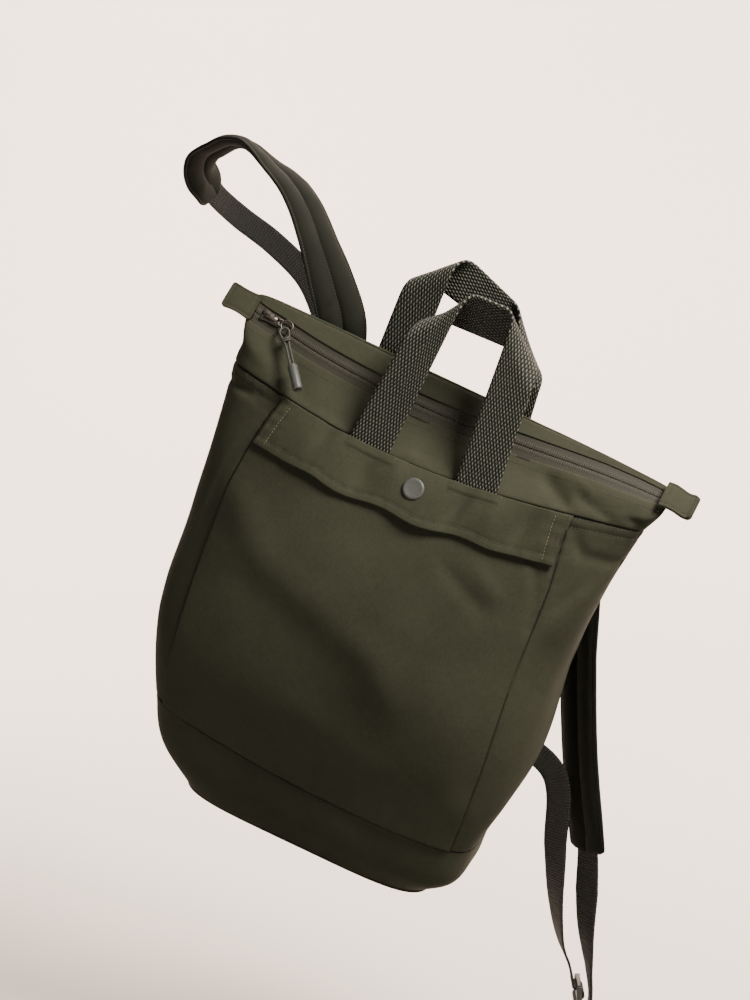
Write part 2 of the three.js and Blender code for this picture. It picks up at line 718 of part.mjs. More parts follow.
// Slider on the left end of the zip, its ring, and the cord pull that hangs from the ring
function makePull() {
  const turn = -SLIDER.share;
  const { along, across, out } = mouthFrame(turn);
  const share = (MOUTH_EDGE / mouthSpan(turn) + zipShare(turn)) / 2;
  const seat = mouthPoint(turn, share)
    .addScaledVector(out, SLIDER.seat)
    .addScaledVector(across, SLIDER.up);
  const body = roundedRect(SLIDER.length, SLIDER.width, 2.5);
  const metal = () => material(COLOURS.metal, 0.4, 0.8);
  const slider = namedMesh('zip_slider', new THREE.ExtrudeGeometry(body, {
    depth: SLIDER.height, bevelEnabled: false, curveSegments: 4,
  }), metal());
  placed(slider, seat, along, across, out);
  const ringCentre = seat.clone()
    .addScaledVector(along, SLIDER.length / 2 + RING.radius + RING.wire + GAP)
    .addScaledVector(out, SLIDER.height * RING.level);
  const ring = namedMesh('slider_ring', new THREE.TorusGeometry(RING.radius, RING.wire, 6, 16), metal());
  placed(ring, ringCentre, along, across, out);
  return { meshes: [slider, ring], hang: ringCentre.clone().addScaledVector(across, -RING.radius), out };
}

// The pull lies down the slope of the yoke: a loop of cord through the ring, its two strands
// drawn together and set into one rubber end
function makePullCord(hang, out) {
  const top = bag.localToWorld(hang.clone());
  const lift = out.clone().transformDirection(bag.matrixWorld);
  lift.addScaledVector(PULL_HANG, -lift.dot(PULL_HANG)).normalize();
  const side = PULL_HANG.clone().cross(lift);
  const strand = (aside, drop, height) => top.clone()
    .addScaledVector(side, aside)
    .addScaledVector(PULL_HANG, drop)
    .addScaledVector(lift, height);
  const { drop: low, loop, loopTop, over } = PULL_CORD;
  const near = PULL_CORD.spread / 2;
  const arc = (degrees, height) => {
    const angle = THREE.MathUtils.degToRad(degrees);
    return [loop * Math.cos(angle), loopTop + loop * (1 - Math.sin(angle)), height];
  };
  const half = [
    [near, low, over],
    [near, 0.7 * low, over],
    [near, 0.47 * low, over],
    [near + 0.6, 0.32 * low, over],
    [loop - 0.6, 0.18 * low, over],
    arc(0, 0.95 * over),
    arc(30, 0.9 * over),
    arc(60, 0.84 * over),
  ];
  const mirrored = half.map(([aside, ...rest]) => [-aside, ...rest]).reverse();
  const path = new THREE.CatmullRomCurve3(
    [...half, arc(90, 0.72 * over), ...mirrored].map((row) => strand(...row)),
  );
  const section = new THREE.Shape();
  section.absarc(0, 0, PULL_CORD.radius, 0, 2 * Math.PI);
  const cord = namedMesh('puller_cord', new THREE.ExtrudeGeometry(section, {
    steps: 40, curveSegments: 4, extrudePath: path, bevelEnabled: false,
  }), webbingLook());
  const profile = [
    [0, 0], [PULL_END.radius - 0.8, 0], [PULL_END.radius, 0.8],
    [PULL_END.radius, PULL_END.length], [0, PULL_END.length],
  ];
  const end = namedMesh(
    'puller_end',
    new THREE.LatheGeometry(profile.map(([r, h]) => new THREE.Vector2(r, h)), 14),
    material(COLOURS.stud, 0.5),
  );
  end.quaternion.setFromUnitVectors(new THREE.Vector3(0, 1, 0), PULL_HANG);
  end.position.copy(strand(0, low + GAP, over));
  return [cord, end];
}

const backpack = new THREE.Group();
const bag = new THREE.Group();
bag.rotation.y = BAG_ROLL;
bag.position.copy(BASE_CENTRE);
backpack.add(bag);
bag.add(...makeBase(), ...makeWalls(), ...makeYokes(), ...makeMouth(), ...makeZipTabs(), ...makeFlap());
bag.add(makeHandle('handle_front', HANDLE_FRONT, 0.5), makeHandle('handle_back', HANDLE_BACK, 2.53));
const pull = makePull();
bag.add(...pull.meshes);
backpack.updateMatrixWorld(true);
backpack.add(...makePullCord(pull.hang, pull.out), ...makeStraps(), ...makeAdjusters());

export default backpack;
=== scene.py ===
import math

import bmesh
import bpy
import numpy as np
from mathutils import Matrix, Vector, noise


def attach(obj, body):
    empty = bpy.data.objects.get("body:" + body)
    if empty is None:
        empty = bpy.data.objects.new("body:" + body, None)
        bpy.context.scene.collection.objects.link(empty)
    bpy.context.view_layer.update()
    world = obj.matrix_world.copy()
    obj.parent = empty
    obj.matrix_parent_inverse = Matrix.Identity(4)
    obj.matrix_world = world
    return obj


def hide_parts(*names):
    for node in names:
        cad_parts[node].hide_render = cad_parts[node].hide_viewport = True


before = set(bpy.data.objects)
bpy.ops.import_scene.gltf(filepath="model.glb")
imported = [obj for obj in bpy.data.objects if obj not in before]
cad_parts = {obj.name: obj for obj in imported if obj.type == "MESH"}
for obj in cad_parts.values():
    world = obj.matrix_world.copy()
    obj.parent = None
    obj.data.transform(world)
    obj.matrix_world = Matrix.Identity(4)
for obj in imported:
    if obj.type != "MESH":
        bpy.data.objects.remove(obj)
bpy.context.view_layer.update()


# Camera, light and backdrop: a long lens looks a little down on the bag's front, from its right.
# A soft key from the upper right grazes the cloth, a weak fill opens its left side, and three
# lights wash a sheet of pale matte paper, which is clear from behind so that the back shows.
BAG_MIDDLE, FLOOR = (0.14, -0.12, -0.3), -0.74
SWEEP_FRONT, SWEEP_FLAT, SWEEP_BEND, SWEEP_RISE, SWEEP_HALF = -2.6, 3.6, 0.8, 2.6, 4
FLAT_SHARE, BENT_SHARE = 0.45, 0.65


def srgb(text):
    parts = [int(text[i:i + 2], 16) / 255 for i in (1, 3, 5)]
    return [c / 12.92 if c <= 0.04045 else ((c + 0.055) / 1.055) ** 2.4 for c in parts] + [1.0]


def join(tree, node, inputs):
    for key, value in inputs.items():
        if isinstance(value, bpy.types.Node):
            value = value.outputs[0]
        if isinstance(value, bpy.types.NodeSocket):
            tree.links.new(value, node.inputs[key])
        else:
            node.inputs[key].default_value = value


def add(tree, kind, inputs=None, stops=(), **settings):
    made = tree.nodes.new("ShaderNode" + kind)
    for key, value in settings.items():
        setattr(made, key, value)
    if stops:
        elements = made.color_ramp.elements
        elements[0].position, elements[1].position = stops[0][0], stops[-1][0]
        for position, _ in stops[1:-1]:
            elements.new(position)
        for element, (_, colour) in zip(elements, stops):
            element.color = srgb(colour)
    join(tree, made, inputs or {})
    return made


def blank_look(name):
    made = bpy.data.materials.new(name)
    made.use_nodes = True
    return made, made.node_tree, made.node_tree.nodes["Principled BSDF"]


def linked(name, data):
    made = bpy.data.objects.new(name, data)
    bpy.context.scene.collection.objects.link(made)
    return made


def finished(name, bm, look):
    mesh = bpy.data.meshes.new(name)
    bm.to_mesh(mesh)
    bm.free()
    mesh.shade_smooth()
    mesh.materials.append(look)
    return linked(name, mesh)


camera_data = bpy.data.cameras.new("camera")
camera_data.lens = 85
camera_data.sensor_fit = "VERTICAL"
camera_data.sensor_height = 36
camera_data.sensor_width = 27
camera = linked("camera", camera_data)
camera.location = (0.6513, -1.7346, 0.2273)
camera.rotation_euler = (math.radians(74.5), 0, math.radians(17.2))
bpy.context.scene.camera = camera

for name, place, target, size, power, colour in (
    ("key", (1.28, -0.44, 0.98), BAG_MIDDLE, 0.7, 80, "#fff8ee"),
    ("fill", (-0.5, -2.2, 0.0), BAG_MIDDLE, 1.6, 15, "#f6f0e6"),
    ("wall_left", (-1.1, 0.45, 0.5), (-0.6, 2.2, 0.1), 1.2, 97, "#fff0e6"),
    ("wall_right", (1.5, 0.45, 0.5), (0.9, 2.2, 0.1), 1.2, 97, "#fff0e6"),
    ("floor", (0.0, 1.1, 1.3), (0.0, 0.45, FLOOR), 1.0, 60, "#fff0e6"),
):
    lamp = bpy.data.lights.new(name, "AREA")
    lamp.shape, lamp.size, lamp.energy, lamp.color = "DISK", size, power, srgb(colour)[:3]
    light = linked(name, lamp)
    light.location = place
    light.rotation_euler = (Vector(target) - Vector(place)).to_track_quat("-Z", "Y").to_euler()
    light.visible_camera = False

world = bpy.data.worlds.new("daylight")
world.use_nodes = True
join(world.node_tree, world.node_tree.nodes["Background"], {"Color": srgb("#f3ece6"), "Strength": 0.13})
bpy.context.scene.world = world

paper, tree, shader = blank_look("matte_paper")
join(tree, shader, {"Base Color": srgb("#ebdfd5"), "Roughness": 0.9})
rear = add(tree, "NewGeometry")
clear = add(tree, "BsdfTransparent")
sheet = add(tree, "MixShader", {"Fac": rear.outputs["Backfacing"], 1: shader, 2: clear})
join(tree, tree.nodes["Material Output"], {"Surface": sheet})
bm = bmesh.new()
bmesh.ops.create_grid(bm, x_segments=2, y_segments=40, size=1)
for v in bm.verts:
    run = (v.co.y + 1) / 2
    angle = math.pi / 2 * min(1, max(0, (run - FLAT_SHARE) / (BENT_SHARE - FLAT_SHARE)))
    v.co = (
        v.co.x * SWEEP_HALF,
        min(run, FLAT_SHARE) / FLAT_SHARE * SWEEP_FLAT + SWEEP_FRONT + SWEEP_BEND * math.sin(angle),
        FLOOR + SWEEP_BEND * (1 - math.cos(angle)) + max(0, run - BENT_SHARE) / (1 - BENT_SHARE) * SWEEP_RISE,
    )
backdrop = finished("backdrop", bm, paper)
backdrop.visible_diffuse = False


# Bag cloth: polyester twill with a waterproof polyurethane coating, cut in panels and sewn. The coating
# fills the weave, so the eye gets a matte, dense face, a little uneven in tone. Shade is painted into
# its colour along the seams' grooves.
# Yarn and twill are finer than a pixel of the render and are drawn about twice as coarse, to show.
PATCH, YARN_LONG, YARN_WIDE, TWILL = 91, 7.7, 0.77, 0.9


def coated_cloth(name, dark, light, roughness=0.82, twill=TWILL):
    made, tree, shader = blank_look(name)
    place = add(tree, "TexCoord")
    axes = add(tree, "SeparateXYZ", {0: place.outputs["UV"]})
    broad = add(tree, "TexNoise", {"Vector": place.outputs["Object"], "Scale": 1000 / PATCH, "Detail": 3.0})
    yarns = []
    for across, along in ((YARN_LONG, YARN_WIDE), (YARN_WIDE, YARN_LONG)):
        stretch = (1000 / across, 1000 / along, 1)
        drawn = add(tree, "VectorMath", {0: place.outputs["UV"], 1: stretch}, operation="MULTIPLY")
        yarns.append(add(tree, "TexNoise", {"Vector": drawn, "Scale": 1.0, "Detail": 2.0}))
    crossed = add(tree, "Math", {0: yarns[0], 1: yarns[1]}, operation="ADD")
    grain = add(tree, "Math", {0: crossed, 1: 0.5}, operation="MULTIPLY")
    slope = add(tree, "Math", {0: axes.outputs["X"], 1: axes.outputs["Y"]}, operation="ADD")
    turns = add(tree, "Math", {0: slope, 1: 2000 * math.pi / twill}, operation="MULTIPLY")
    ribs = add(tree, "Math", {0: turns}, operation="SINE")
    tone = add(tree, "Math", {0: broad, 1: grain}, operation="ADD")
    half = add(tree, "Math", {0: tone, 1: 0.5}, operation="MULTIPLY")
    # Painted shade: the per-vertex seam attribute darkens the colour along the seams' grooves, down to near
    # black.
    seam = add(tree, "Attribute", attribute_name="seam")
    groove_shade = add(tree, "Math", {0: seam.outputs["Fac"], 1: -0.6, 2: half}, operation="MULTIPLY_ADD")
    colour = add(tree, "ValToRGB", {"Fac": groove_shade}, ((0.02, "#0a0a07"), (0.27, dark), (0.73, light)))
    rough = add(tree, "MapRange", {"Value": grain, "To Min": roughness - 0.08, "To Max": roughness + 0.08})
    relief = add(tree, "Math", {0: ribs, 1: 0.3, 2: grain}, operation="MULTIPLY_ADD")
    bump = add(tree, "Bump", {"Height": relief, "Strength": 0.3, "Distance": 0.0002})
    join(tree, shader, {"Base Color": colour, "Roughness": rough, "Normal": bump, "Specular IOR Level": 0.14})
    return made


bag_cloth = coated_cloth("coated_polyester", "#27281d", "#404134")


# The bag's form: level sections of the sewn shell, joined by smooth curves and hung rolled to one
# side. Columns give half width, reach, squareness and pocket seam, then how each section settles.
# Swells and folds are x, z, length, width, slant, height; creases are width, height and their line.
ROLL = math.radians(19.6)
BASE_CENTRE = np.array([82.0, -75.0, -518.0])
BASE_SEAM, YOKE_SEAM, RIM, POCKET_MOUTH, FLAP_DROP = 58, 330, 367, 315, 42
CLOTH, GAP, TUCK = 1.5, 0.3, 0.4
# The second number is the width of the shade painted along each seam's groove.
SEAM_DEEP, SEAM_SHADE_WIDE, ROW_DEEP, ROW_WIDE, CREASE_STEP = 1.6, 1.15, 0.4, 1.6, 3.0
LEVELS = np.array([0, 20, 58, 130, 205, 270, 330, 352, 367], float)
COLUMNS = {
    "half": [106, 129, 140, 158, 158, 161, 169, 171, 174],
    "front": [56, 62, 67, 76, 68, 55, 32, 21, 10],
    "back": [20, 27, 30, 30, 28, 25, 17, 12, 9],
    "square": [4.5, 5, 5.5, 4.2, 3.3, 2.9, 2.6, 4, 8],
    "seam": [0.94, 0.93, 0.89, 0.815, 0.81, 0.785, 0.7, 0.705, 0.7],
    "lean": [0, -0.03, -0.045, 0.01, 0.035, 0.02, 0.012, -0.01, -0.04],
    "tilt": [0, 0, 0, 0, 0, 0, 0, 0.5, 0.88],
    "sag": [0, 2, 6, 5, 6, 8, 14, 14, 18],
    "low": [0, 0, -3, -3, -1, -9, -10, -36, -46],
    "shift": [9, 4, -2, -5, -9, -9, -6, -2, -3],
}
SWELLS = [
    (8, 200, 110, 48, -26, 7), (-138, 344, 30, 9, -28, -3), (-141, 318, 20, 8, 0, -2.5),
    (137, 291, 28, 10, 50, -3),
]
FOLDS = [
    (113, 345, 10, 4, -20, 1.2), (-160, 313, 17, 3.4, 4, -2.2), (-151, 223, 32, 2.6, 87, 1.3),
    (124, 310, 14, 5, -50, -2), (146, 303, 20, 5, -5, -1.8), (134, 274, 22, 6, 60, -2),
    (-80, 314, 14, 6, 75, -2.4), (-42, 298, 13, 9, 80, -3.2), (-20, 309, 13, 6, 75, 2.0),
    (32, 302, 17, 6, 72, -3.6), (58, 306, 16, 8, 75, 2.0), (84, 310, 15, 6, 75, -2.6),
    (-40, 352, 26, 6, -20, -1.3), (104, 350, 36, 9, -6, 2),
]
CREASES = [
    (16, 2.6, [(-136, 252), (-85, 209), (-39, 198), (21, 182), (44, 149)]),
    (6, -1.3, [(40, 262), (62, 251), (78, 243)]),
    (5, -3.2, [(82, 342), (95, 337), (105, 333)]),
    (4, -2.8, [(110, 341), (122, 339), (132, 339), (135, 332)]),
    (5, -2.4, [(148, 343), (157, 336)]),
    (7, 1.2, [(60, 270), (88, 254)]),
    (5, -1.2, [(98, 296), (112, 262), (116, 238)]),
    (13, -3, [(134, 236), (128, 160), (118, 100)]),
    (14, 1, [(-30, 120), (20, 104), (60, 98)]),
]


def section(name, z):
    values = np.array(COLUMNS[name], float)
    z = np.clip(z, LEVELS[0], LEVELS[-1])
    i = np.clip(np.searchsorted(LEVELS, z, side="right"), 1, len(LEVELS) - 1)
    t0, t1 = LEVELS[i - 1], LEVELS[i]
    first, last = i == 1, i == len(LEVELS) - 1
    before = np.where(first, i, i - 2)
    after = np.where(last, i - 1, np.minimum(i + 1, len(LEVELS) - 1))
    wp = (t1 - t0) / 2 / (t0 - np.where(first, t1, LEVELS[before]))
    wn = (t1 - t0) / 2 / (np.where(last, t0, LEVELS[after]) - t1)
    p = (z - t0) / (t1 - t0)
    p2, p3 = p * p, p * p * p
    return (
        (-wp * p3 + 2 * wp * p2 - wp * p) * values[before]
        + ((1 + wp) * p3 + (-1.5 - 2 * wp) * p2 + (-0.5 + wp) * p + 1) * values[i - 1]
        + ((-1 - wn) * p3 + (1.5 + wn) * p2 + 0.5 * p) * values[i]
        + (wn * p3 - wn * p2) * values[after]
    )


def reach(share, square):
    return np.maximum(0, 1 - np.abs(share) ** square) ** (1 / square)


def swell(x, z, forms):
    total = np.zeros_like(x)
    for middle_x, middle_z, long, wide, slant, height in forms:
        angle = math.radians(slant)
        dx, dz = x - middle_x, z - middle_z
        along = (dx * math.cos(angle) + dz * math.sin(angle)) / long
        across = (dz * math.cos(angle) - dx * math.sin(angle)) / wide
        total += height * np.exp(-along ** 2 - across ** 2)
    return total


def wall(turn, z):
    turn, z = np.broadcast_arrays(np.asarray(turn, float), np.asarray(z, float))
    s = {name: section(name, z) for name in COLUMNS}
    whole = np.mod(turn, 4)
    zone = np.floor(whole)
    t = whole - zone
    seam_x = s["half"] * s["seam"]
    corner = reach(s["seam"], s["square"])
    flat_x = np.where(zone == 0, 1, -1) * (2 * t - 1) * seam_x
    flat_y = np.where(zone == 0, -s["front"], s["back"]) * reach(flat_x / s["half"], s["square"])
    t_side = np.where(zone == 1, t, 1 - t)
    side_y = (-s["front"] + (s["back"] + s["front"]) * t_side) * corner
    depth = np.where(side_y < 0, s["front"], s["back"])
    side_x = np.where(zone == 1, 1, -1) * s["half"] * reach(side_y / depth, s["square"])
    on_flat = np.mod(zone, 2) == 0
    x = np.where(on_flat, flat_x, side_x)
    y = np.where(on_flat, flat_y, side_y)
    from_low = (x - s["low"]) / (s["half"] + np.abs(s["low"]))
    sag = np.where(y < 0, np.maximum(0, 1 - from_low ** 2) ** 2, 0)
    height = z + s["lean"] * x + s["tilt"] * y - s["sag"] * sag
    x = x + s["shift"]
    y = np.where(y < 0, y + y / s["front"] * swell(x, height, SWELLS), y)
    return np.stack([x, y, height], -1)


def unit(rows):
    return rows / np.maximum(np.linalg.norm(rows, axis=-1, keepdims=True), 1e-9)


def normals(points):
    return unit(np.cross(np.gradient(points, axis=1), np.gradient(points, axis=0)))


def in_frame(p):
    x = BASE_CENTRE[0] + p[..., 0] * math.cos(ROLL) + p[..., 2] * math.sin(ROLL)
    y = BASE_CENTRE[1] + p[..., 1]
    z = BASE_CENTRE[2] - p[..., 0] * math.sin(ROLL) + p[..., 2] * math.cos(ROLL)
    return np.stack([x, y, z], -1) / 1000


def rumple(points, size, depth, seed):
    flat = points.reshape(-1, 3) / size + seed
    values = [noise.noise(Vector(p)) for p in flat]
    return depth * np.array(values).reshape(points.shape[:2])


def run_along(line):
    return np.concatenate([[0], np.cumsum(np.linalg.norm(np.diff(line, axis=0), axis=1))])


def folds(points):
    x, z = points[..., 0], points[..., 2]
    total = swell(x, z, FOLDS)
    for wide, height, line in CREASES:
        line = np.array(line, float)
        run = run_along(line)
        share = height * CREASE_STEP / (wide * math.sqrt(math.pi))
        for d in np.arange(0, run[-1], CREASE_STEP):
            off = (x - np.interp(d, run, line[:, 0])) ** 2 + (z - np.interp(d, run, line[:, 1])) ** 2
            total = total + share * np.exp(-off / wide ** 2)
    return np.where(points[..., 1] < 0, total, 0)


def gathered(low, high, count):
    t = np.linspace(0, 1, count)
    return low + (high - low) * (t - 0.6 * np.sin(2 * math.pi * t) / (2 * math.pi))


def run_lengths(points):
    us = np.stack([run_along(row) for row in points])
    vs = np.stack([run_along(column) for column in points.swapaxes(0, 1)], 1)
    return us - us[:, -1:] / 2, vs


def grid_mesh(name, points, uv, look, wrap=False, groove_shade=None, capped=False, outward=False):
    rows, cols = points.shape[:2]
    bm = bmesh.new()
    bmesh.ops.create_grid(bm, x_segments=cols - 1, y_segments=rows - 1, size=1)
    layer = bm.loops.layers.uv.new("UVMap")
    # Each vertex carries how strongly shade is painted on it along a seam.
    seam = bm.verts.layers.float.new("seam")
    spot = {}
    for v in bm.verts:
        spot[v] = (round((v.co.y + 1) / 2 * (rows - 1)), round((v.co.x + 1) / 2 * (cols - 1)))
    for face in bm.faces:
        for loop in face.loops:
            loop[layer].uv = uv[spot[loop.vert]]
    for v, at in spot.items():
        v.co = points[at]
        v[seam] = 0 if groove_shade is None else groove_shade[at]
    if wrap:
        bmesh.ops.remove_doubles(bm, verts=bm.verts, dist=1e-6)
    if capped:
        bmesh.ops.holes_fill(bm, edges=[e for e in bm.edges if e.is_boundary], sides=0)
    if outward:
        bm.normal_update()
        bmesh.ops.recalc_face_normals(bm, faces=bm.faces)
    return finished(name, bm, look)


def thicken(piece, thick, offset=-1.0):
    solid = piece.modifiers.new("thickness", "SOLIDIFY")
    solid.thickness, solid.offset, solid.use_even_offset = thick / 1000, offset, False


def settle(piece, slot, *nodes):
    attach(piece, "root")
    if nodes:
        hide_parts(*nodes)


def laid_cloth(name, shape, us, vs, node, thick, wrap=False, groove_shade=None):
    piece = grid_mesh(name, shape, np.stack([us, vs], -1) / 1000, bag_cloth, wrap, groove_shade)
    thicken(piece, thick)
    settle(piece, "coated_cloth", node)
    return piece, {"shape": shape, "lifted": shape + normals(shape) / 1000, "us": us, "vs": vs}


def wall_cloth(
    name, turns, rows, lift, seams, seed, node, thick=CLOTH, crumple=1.0, wrap=False, sewn=(), hang=None,
):
    z, t = np.meshgrid(rows, turns, indexing="ij")
    z = z + hang(t, z) if hang else z
    points = wall(t, z)
    us, vs = run_lengths(points)
    edge = {"left": us - us[:, :1], "right": us[:, -1:] - us, "bottom": vs - vs[:1], "top": vs[-1:] - vs}
    raised = lift(t, z) if callable(lift) else np.full(t.shape, float(lift))
    raised = raised + folds(points)
    raised = raised + rumple(points, 62, 1.1 * crumple, seed) + rumple(points, 23, 0.32 * crumple, seed + 9)
    # Painted shade: a dark line is painted along each seam's groove and kept per vertex for the cloth's
    # colour.
    groove_shade = np.zeros(t.shape)
    for side in seams:
        d = edge[side]
        groove_shade = np.maximum(groove_shade, np.exp(-(d / SEAM_SHADE_WIDE) ** 2))
        run = vs if side in ("left", "right") else us
        ripple = 0.5 * np.sin(run / 1.55 + 3 * rumple(points, 30, 1, seed + 4))
        gather = 0.22 + 0.4 * np.exp(-edge["top"] / 32)
        raised = raised + gather * crumple * np.exp(-d / 8) * ripple - SEAM_DEEP * np.exp(-d ** 2)
    for side, inset in sewn:
        d = np.abs(edge[side] - inset)
        run = vs if side in ("left", "right") else us
        ripple = np.sin(run / 1.7 + 3 * rumple(points, 30, 1, seed + inset))
        raised = raised + 0.16 * np.exp(-d / 5) * ripple - ROW_DEEP * np.exp(-(d / ROW_WIDE) ** 2)
    shape = in_frame(points + normals(points) * raised[..., None])
    if wrap:
        shape[:, -1] = shape[:, 0]
    return laid_cloth(name, shape, us, vs, node, thick, wrap, groove_shade)


# Seam thread: twisted polyester, tone on tone, with a paler one where the flap is tacked down. Its
# twist gives the eye a faint sheen, broken up by fibres, which are drawn coarser than real to show.
# Each stitch is a short rounded length of thread that sits half in the cloth.
THREAD_FIBRE = 0.417


def grained(name, grain, detail, dark, light, finish, spread=(0, 1), bump=None, worn=None):
    made, tree, shader = blank_look(name)
    place = add(tree, "TexCoord")
    fine = add(tree, "TexNoise", {"Vector": place.outputs["Object"], "Scale": 1000 / grain, "Detail": detail})
    colour = add(tree, "ValToRGB", {"Fac": fine}, ((spread[0], dark), (spread[1], light)))
    join(tree, shader, {"Base Color": colour, **finish})
    if bump:
        height = {"Height": fine, "Strength": bump[0], "Distance": bump[1] / 1000}
        join(tree, shader, {"Normal": add(tree, "Bump", height)})
    if worn:
        rough = add(tree, "MapRange", {"Value": fine, "To Min": worn[0], "To Max": worn[1]})
        join(tree, shader, {"Roughness": rough})
    return made


olive_thread = grained("olive_polyester_thread", THREAD_FIBRE, 1.0, "#25251c", "#3a3a2e", {"Roughness": 0.6})
pale_thread = grained("pale_polyester_thread", THREAD_FIBRE, 1.0, "#5d5b45", "#7a7760", {"Roughness": 0.6})


def inset_line(grid, side, inset):
    sideways = side in ("left", "right")
    runs = grid["us"] if sideways else grid["vs"].T
    targets = runs[:, 0] + inset if side in ("left", "bottom") else runs[:, -1] - inset

    def pick(points):
        rows = points if sideways else points.transpose(1, 0, 2)
        return np.array([
            [np.interp(target, run, row[:, k]) for k in range(3)]
            for target, run, row in zip(targets, runs, rows)
        ])

    return pick(grid["shape"]), pick(grid["lifted"])


bm = bmesh.new()
bmesh.ops.create_uvsphere(bm, u_segments=6, v_segments=4, radius=0.001)
stitch = bpy.data.meshes.new("stitch")
bm.to_mesh(stitch)
bm.free()


def sew(name, lines, look, pitch=2.7, length=2.05, radius=0.25):
    bm = bmesh.new()
    turns = []
    for line, lifted in lines:
        run = 1000 * run_along(line)
        middles = np.arange(pitch / 2, run[-1], pitch)

        def at(rows, places):
            return np.stack([np.interp(places, run, rows[:, k]) for k in range(3)], -1)

        ahead = at(line, middles + length / 2) - at(line, middles - length / 2)
        for spot, up, on in zip(at(line, middles), at(lifted - line, middles), ahead):
            on = Vector(on).normalized()
            up = Vector(up)
            up = (up - on * up.dot(on)).normalized()
            turn = Matrix((up.cross(on) * radius, up * radius, on * length / 2)).transposed().to_4x4()
            turn.translation = Vector(spot) + up * radius * 0.0002
            turns.append(turn)
            bm.from_mesh(stitch)
    for k, v in enumerate(bm.verts):
        v.co = turns[k // len(stitch.vertices)] @ v.co
    settle(finished(name, bm, look), "coated_cloth")


# Body of the bag: a flat pocket over the front wall, two side walls and a back wall, all of the bag
# cloth. The panels are seamed together, and each runs a little past its seam so that none gapes;
# the seams draw the cloth in along a fine line and pucker it.
YOKE_ROWS = (("top", 1.6), ("top", 9.0))
ALL_SEAMS = ("left", "right", "bottom", "top")
wall_rows = gathered(BASE_SEAM - TUCK, YOKE_SEAM + TUCK, 120)
pocket_rows = gathered(BASE_SEAM - TUCK, POCKET_MOUTH, 130)
wall_cloth("front_wall", np.linspace(-0.0015, 1.0015, 40), wall_rows[::7], 0, (), 3.1, "front_panel")
wall_cloth(
    "pocket", gathered(-0.0015, 1.0015, 150), pocket_rows, GAP + CLOTH, ALL_SEAMS[:3], 5.7, "pocket_panel",
)
for name, turns, seed, node in (
    ("side_right", gathered(0.996, 2.004, 64), 11.3, "side_panel_right"),
    ("back_wall", gathered(1.9985, 3.0015, 110), 17.9, "back_panel"),
    ("side_left", gathered(2.996, 4.004, 64), 23.5, "side_panel_left"),
):
    _, laid = wall_cloth(name, turns, wall_rows, 0, ALL_SEAMS, seed, node, sewn=YOKE_ROWS)
    sew(name + "_stitches", [inset_line(laid, *row) for row in YOKE_ROWS], olive_thread)


# Base: a low band of the bag cloth all round, and a flat bottom set into it, both sewn from inside.
# The band's upper edge is seamed to the walls, and the bottom crowns up a little in its middle.
BASE_CROWN, BASE_SINK = 0.9, -0.3
band_turns = np.concatenate([
    np.linspace(0, 1, 90)[:-1], np.linspace(1, 2, 40)[:-1], np.linspace(2, 3, 80)[:-1], np.linspace(3, 4, 40),
])
band_rows = np.concatenate([np.linspace(0, 12, 9)[:-1], gathered(12, BASE_SEAM + TUCK, 34)])
wall_cloth(
    "base_band_cloth", band_turns, band_rows, 0, ("top",), 31.7, "base_band", crumple=0.8, wrap=True,
)
rim_line = wall(band_turns, np.zeros_like(band_turns))
base_middle = rim_line.mean(0)
shares = np.linspace(1, 0, 16)
disc = base_middle + (rim_line[None] - base_middle) * shares[:, None, None]
disc[..., 2] = BASE_SINK + (BASE_CROWN + rumple(disc, 50, 0.6, 2.2)) * (1 - shares[:, None])
bottom = grid_mesh("bottom_cloth", in_frame(disc[::-1]), disc[::-1, :, :2] / 1000, bag_cloth, True)
thicken(bottom, CLOTH, 1.0)
settle(bottom, "coated_cloth", "base_panel")


# Yoke: the upper walls, of the bag cloth, seamed to the walls below. The front one turns in over the
# zip's lower edge and is stitched there; a facing comes down from the ridge over its upper edge.
MOUTH_EDGE, ZIP_WIDTH, EDGE_TURN, YOKE_CLOTH, FACING_CLOTH, FACING_LIFT = 2.2, 19, 1.6, 1.2, 1.0, 0.7
# The second number sets the width of the yoke seam's groove and of the shade painted along it.
YOKE_DEEP, YOKE_GROOVE_SHADE_WIDE, YOKE_STITCH = 1.4, 1.1, 6.2


def mouth(turn, share):
    share = np.asarray(share, float)[..., None]
    return wall(turn, RIM) * (1 - share) + wall(3 - np.asarray(turn, float), RIM) * share


def mouth_span(turn):
    return np.linalg.norm(wall(turn, RIM) - wall(3 - np.asarray(turn, float), RIM), axis=-1)


def zip_share(turn):
    return np.minimum(0.8, (ZIP_WIDTH + MOUTH_EDGE) / mouth_span(turn))


def eased(points, first, last, times):
    for _ in range(times):
        before, after = points[first - 1:last - 1], points[first + 1:last + 1 or None]
        points[first:last] = (before + 2 * points[first:last] + after) / 4


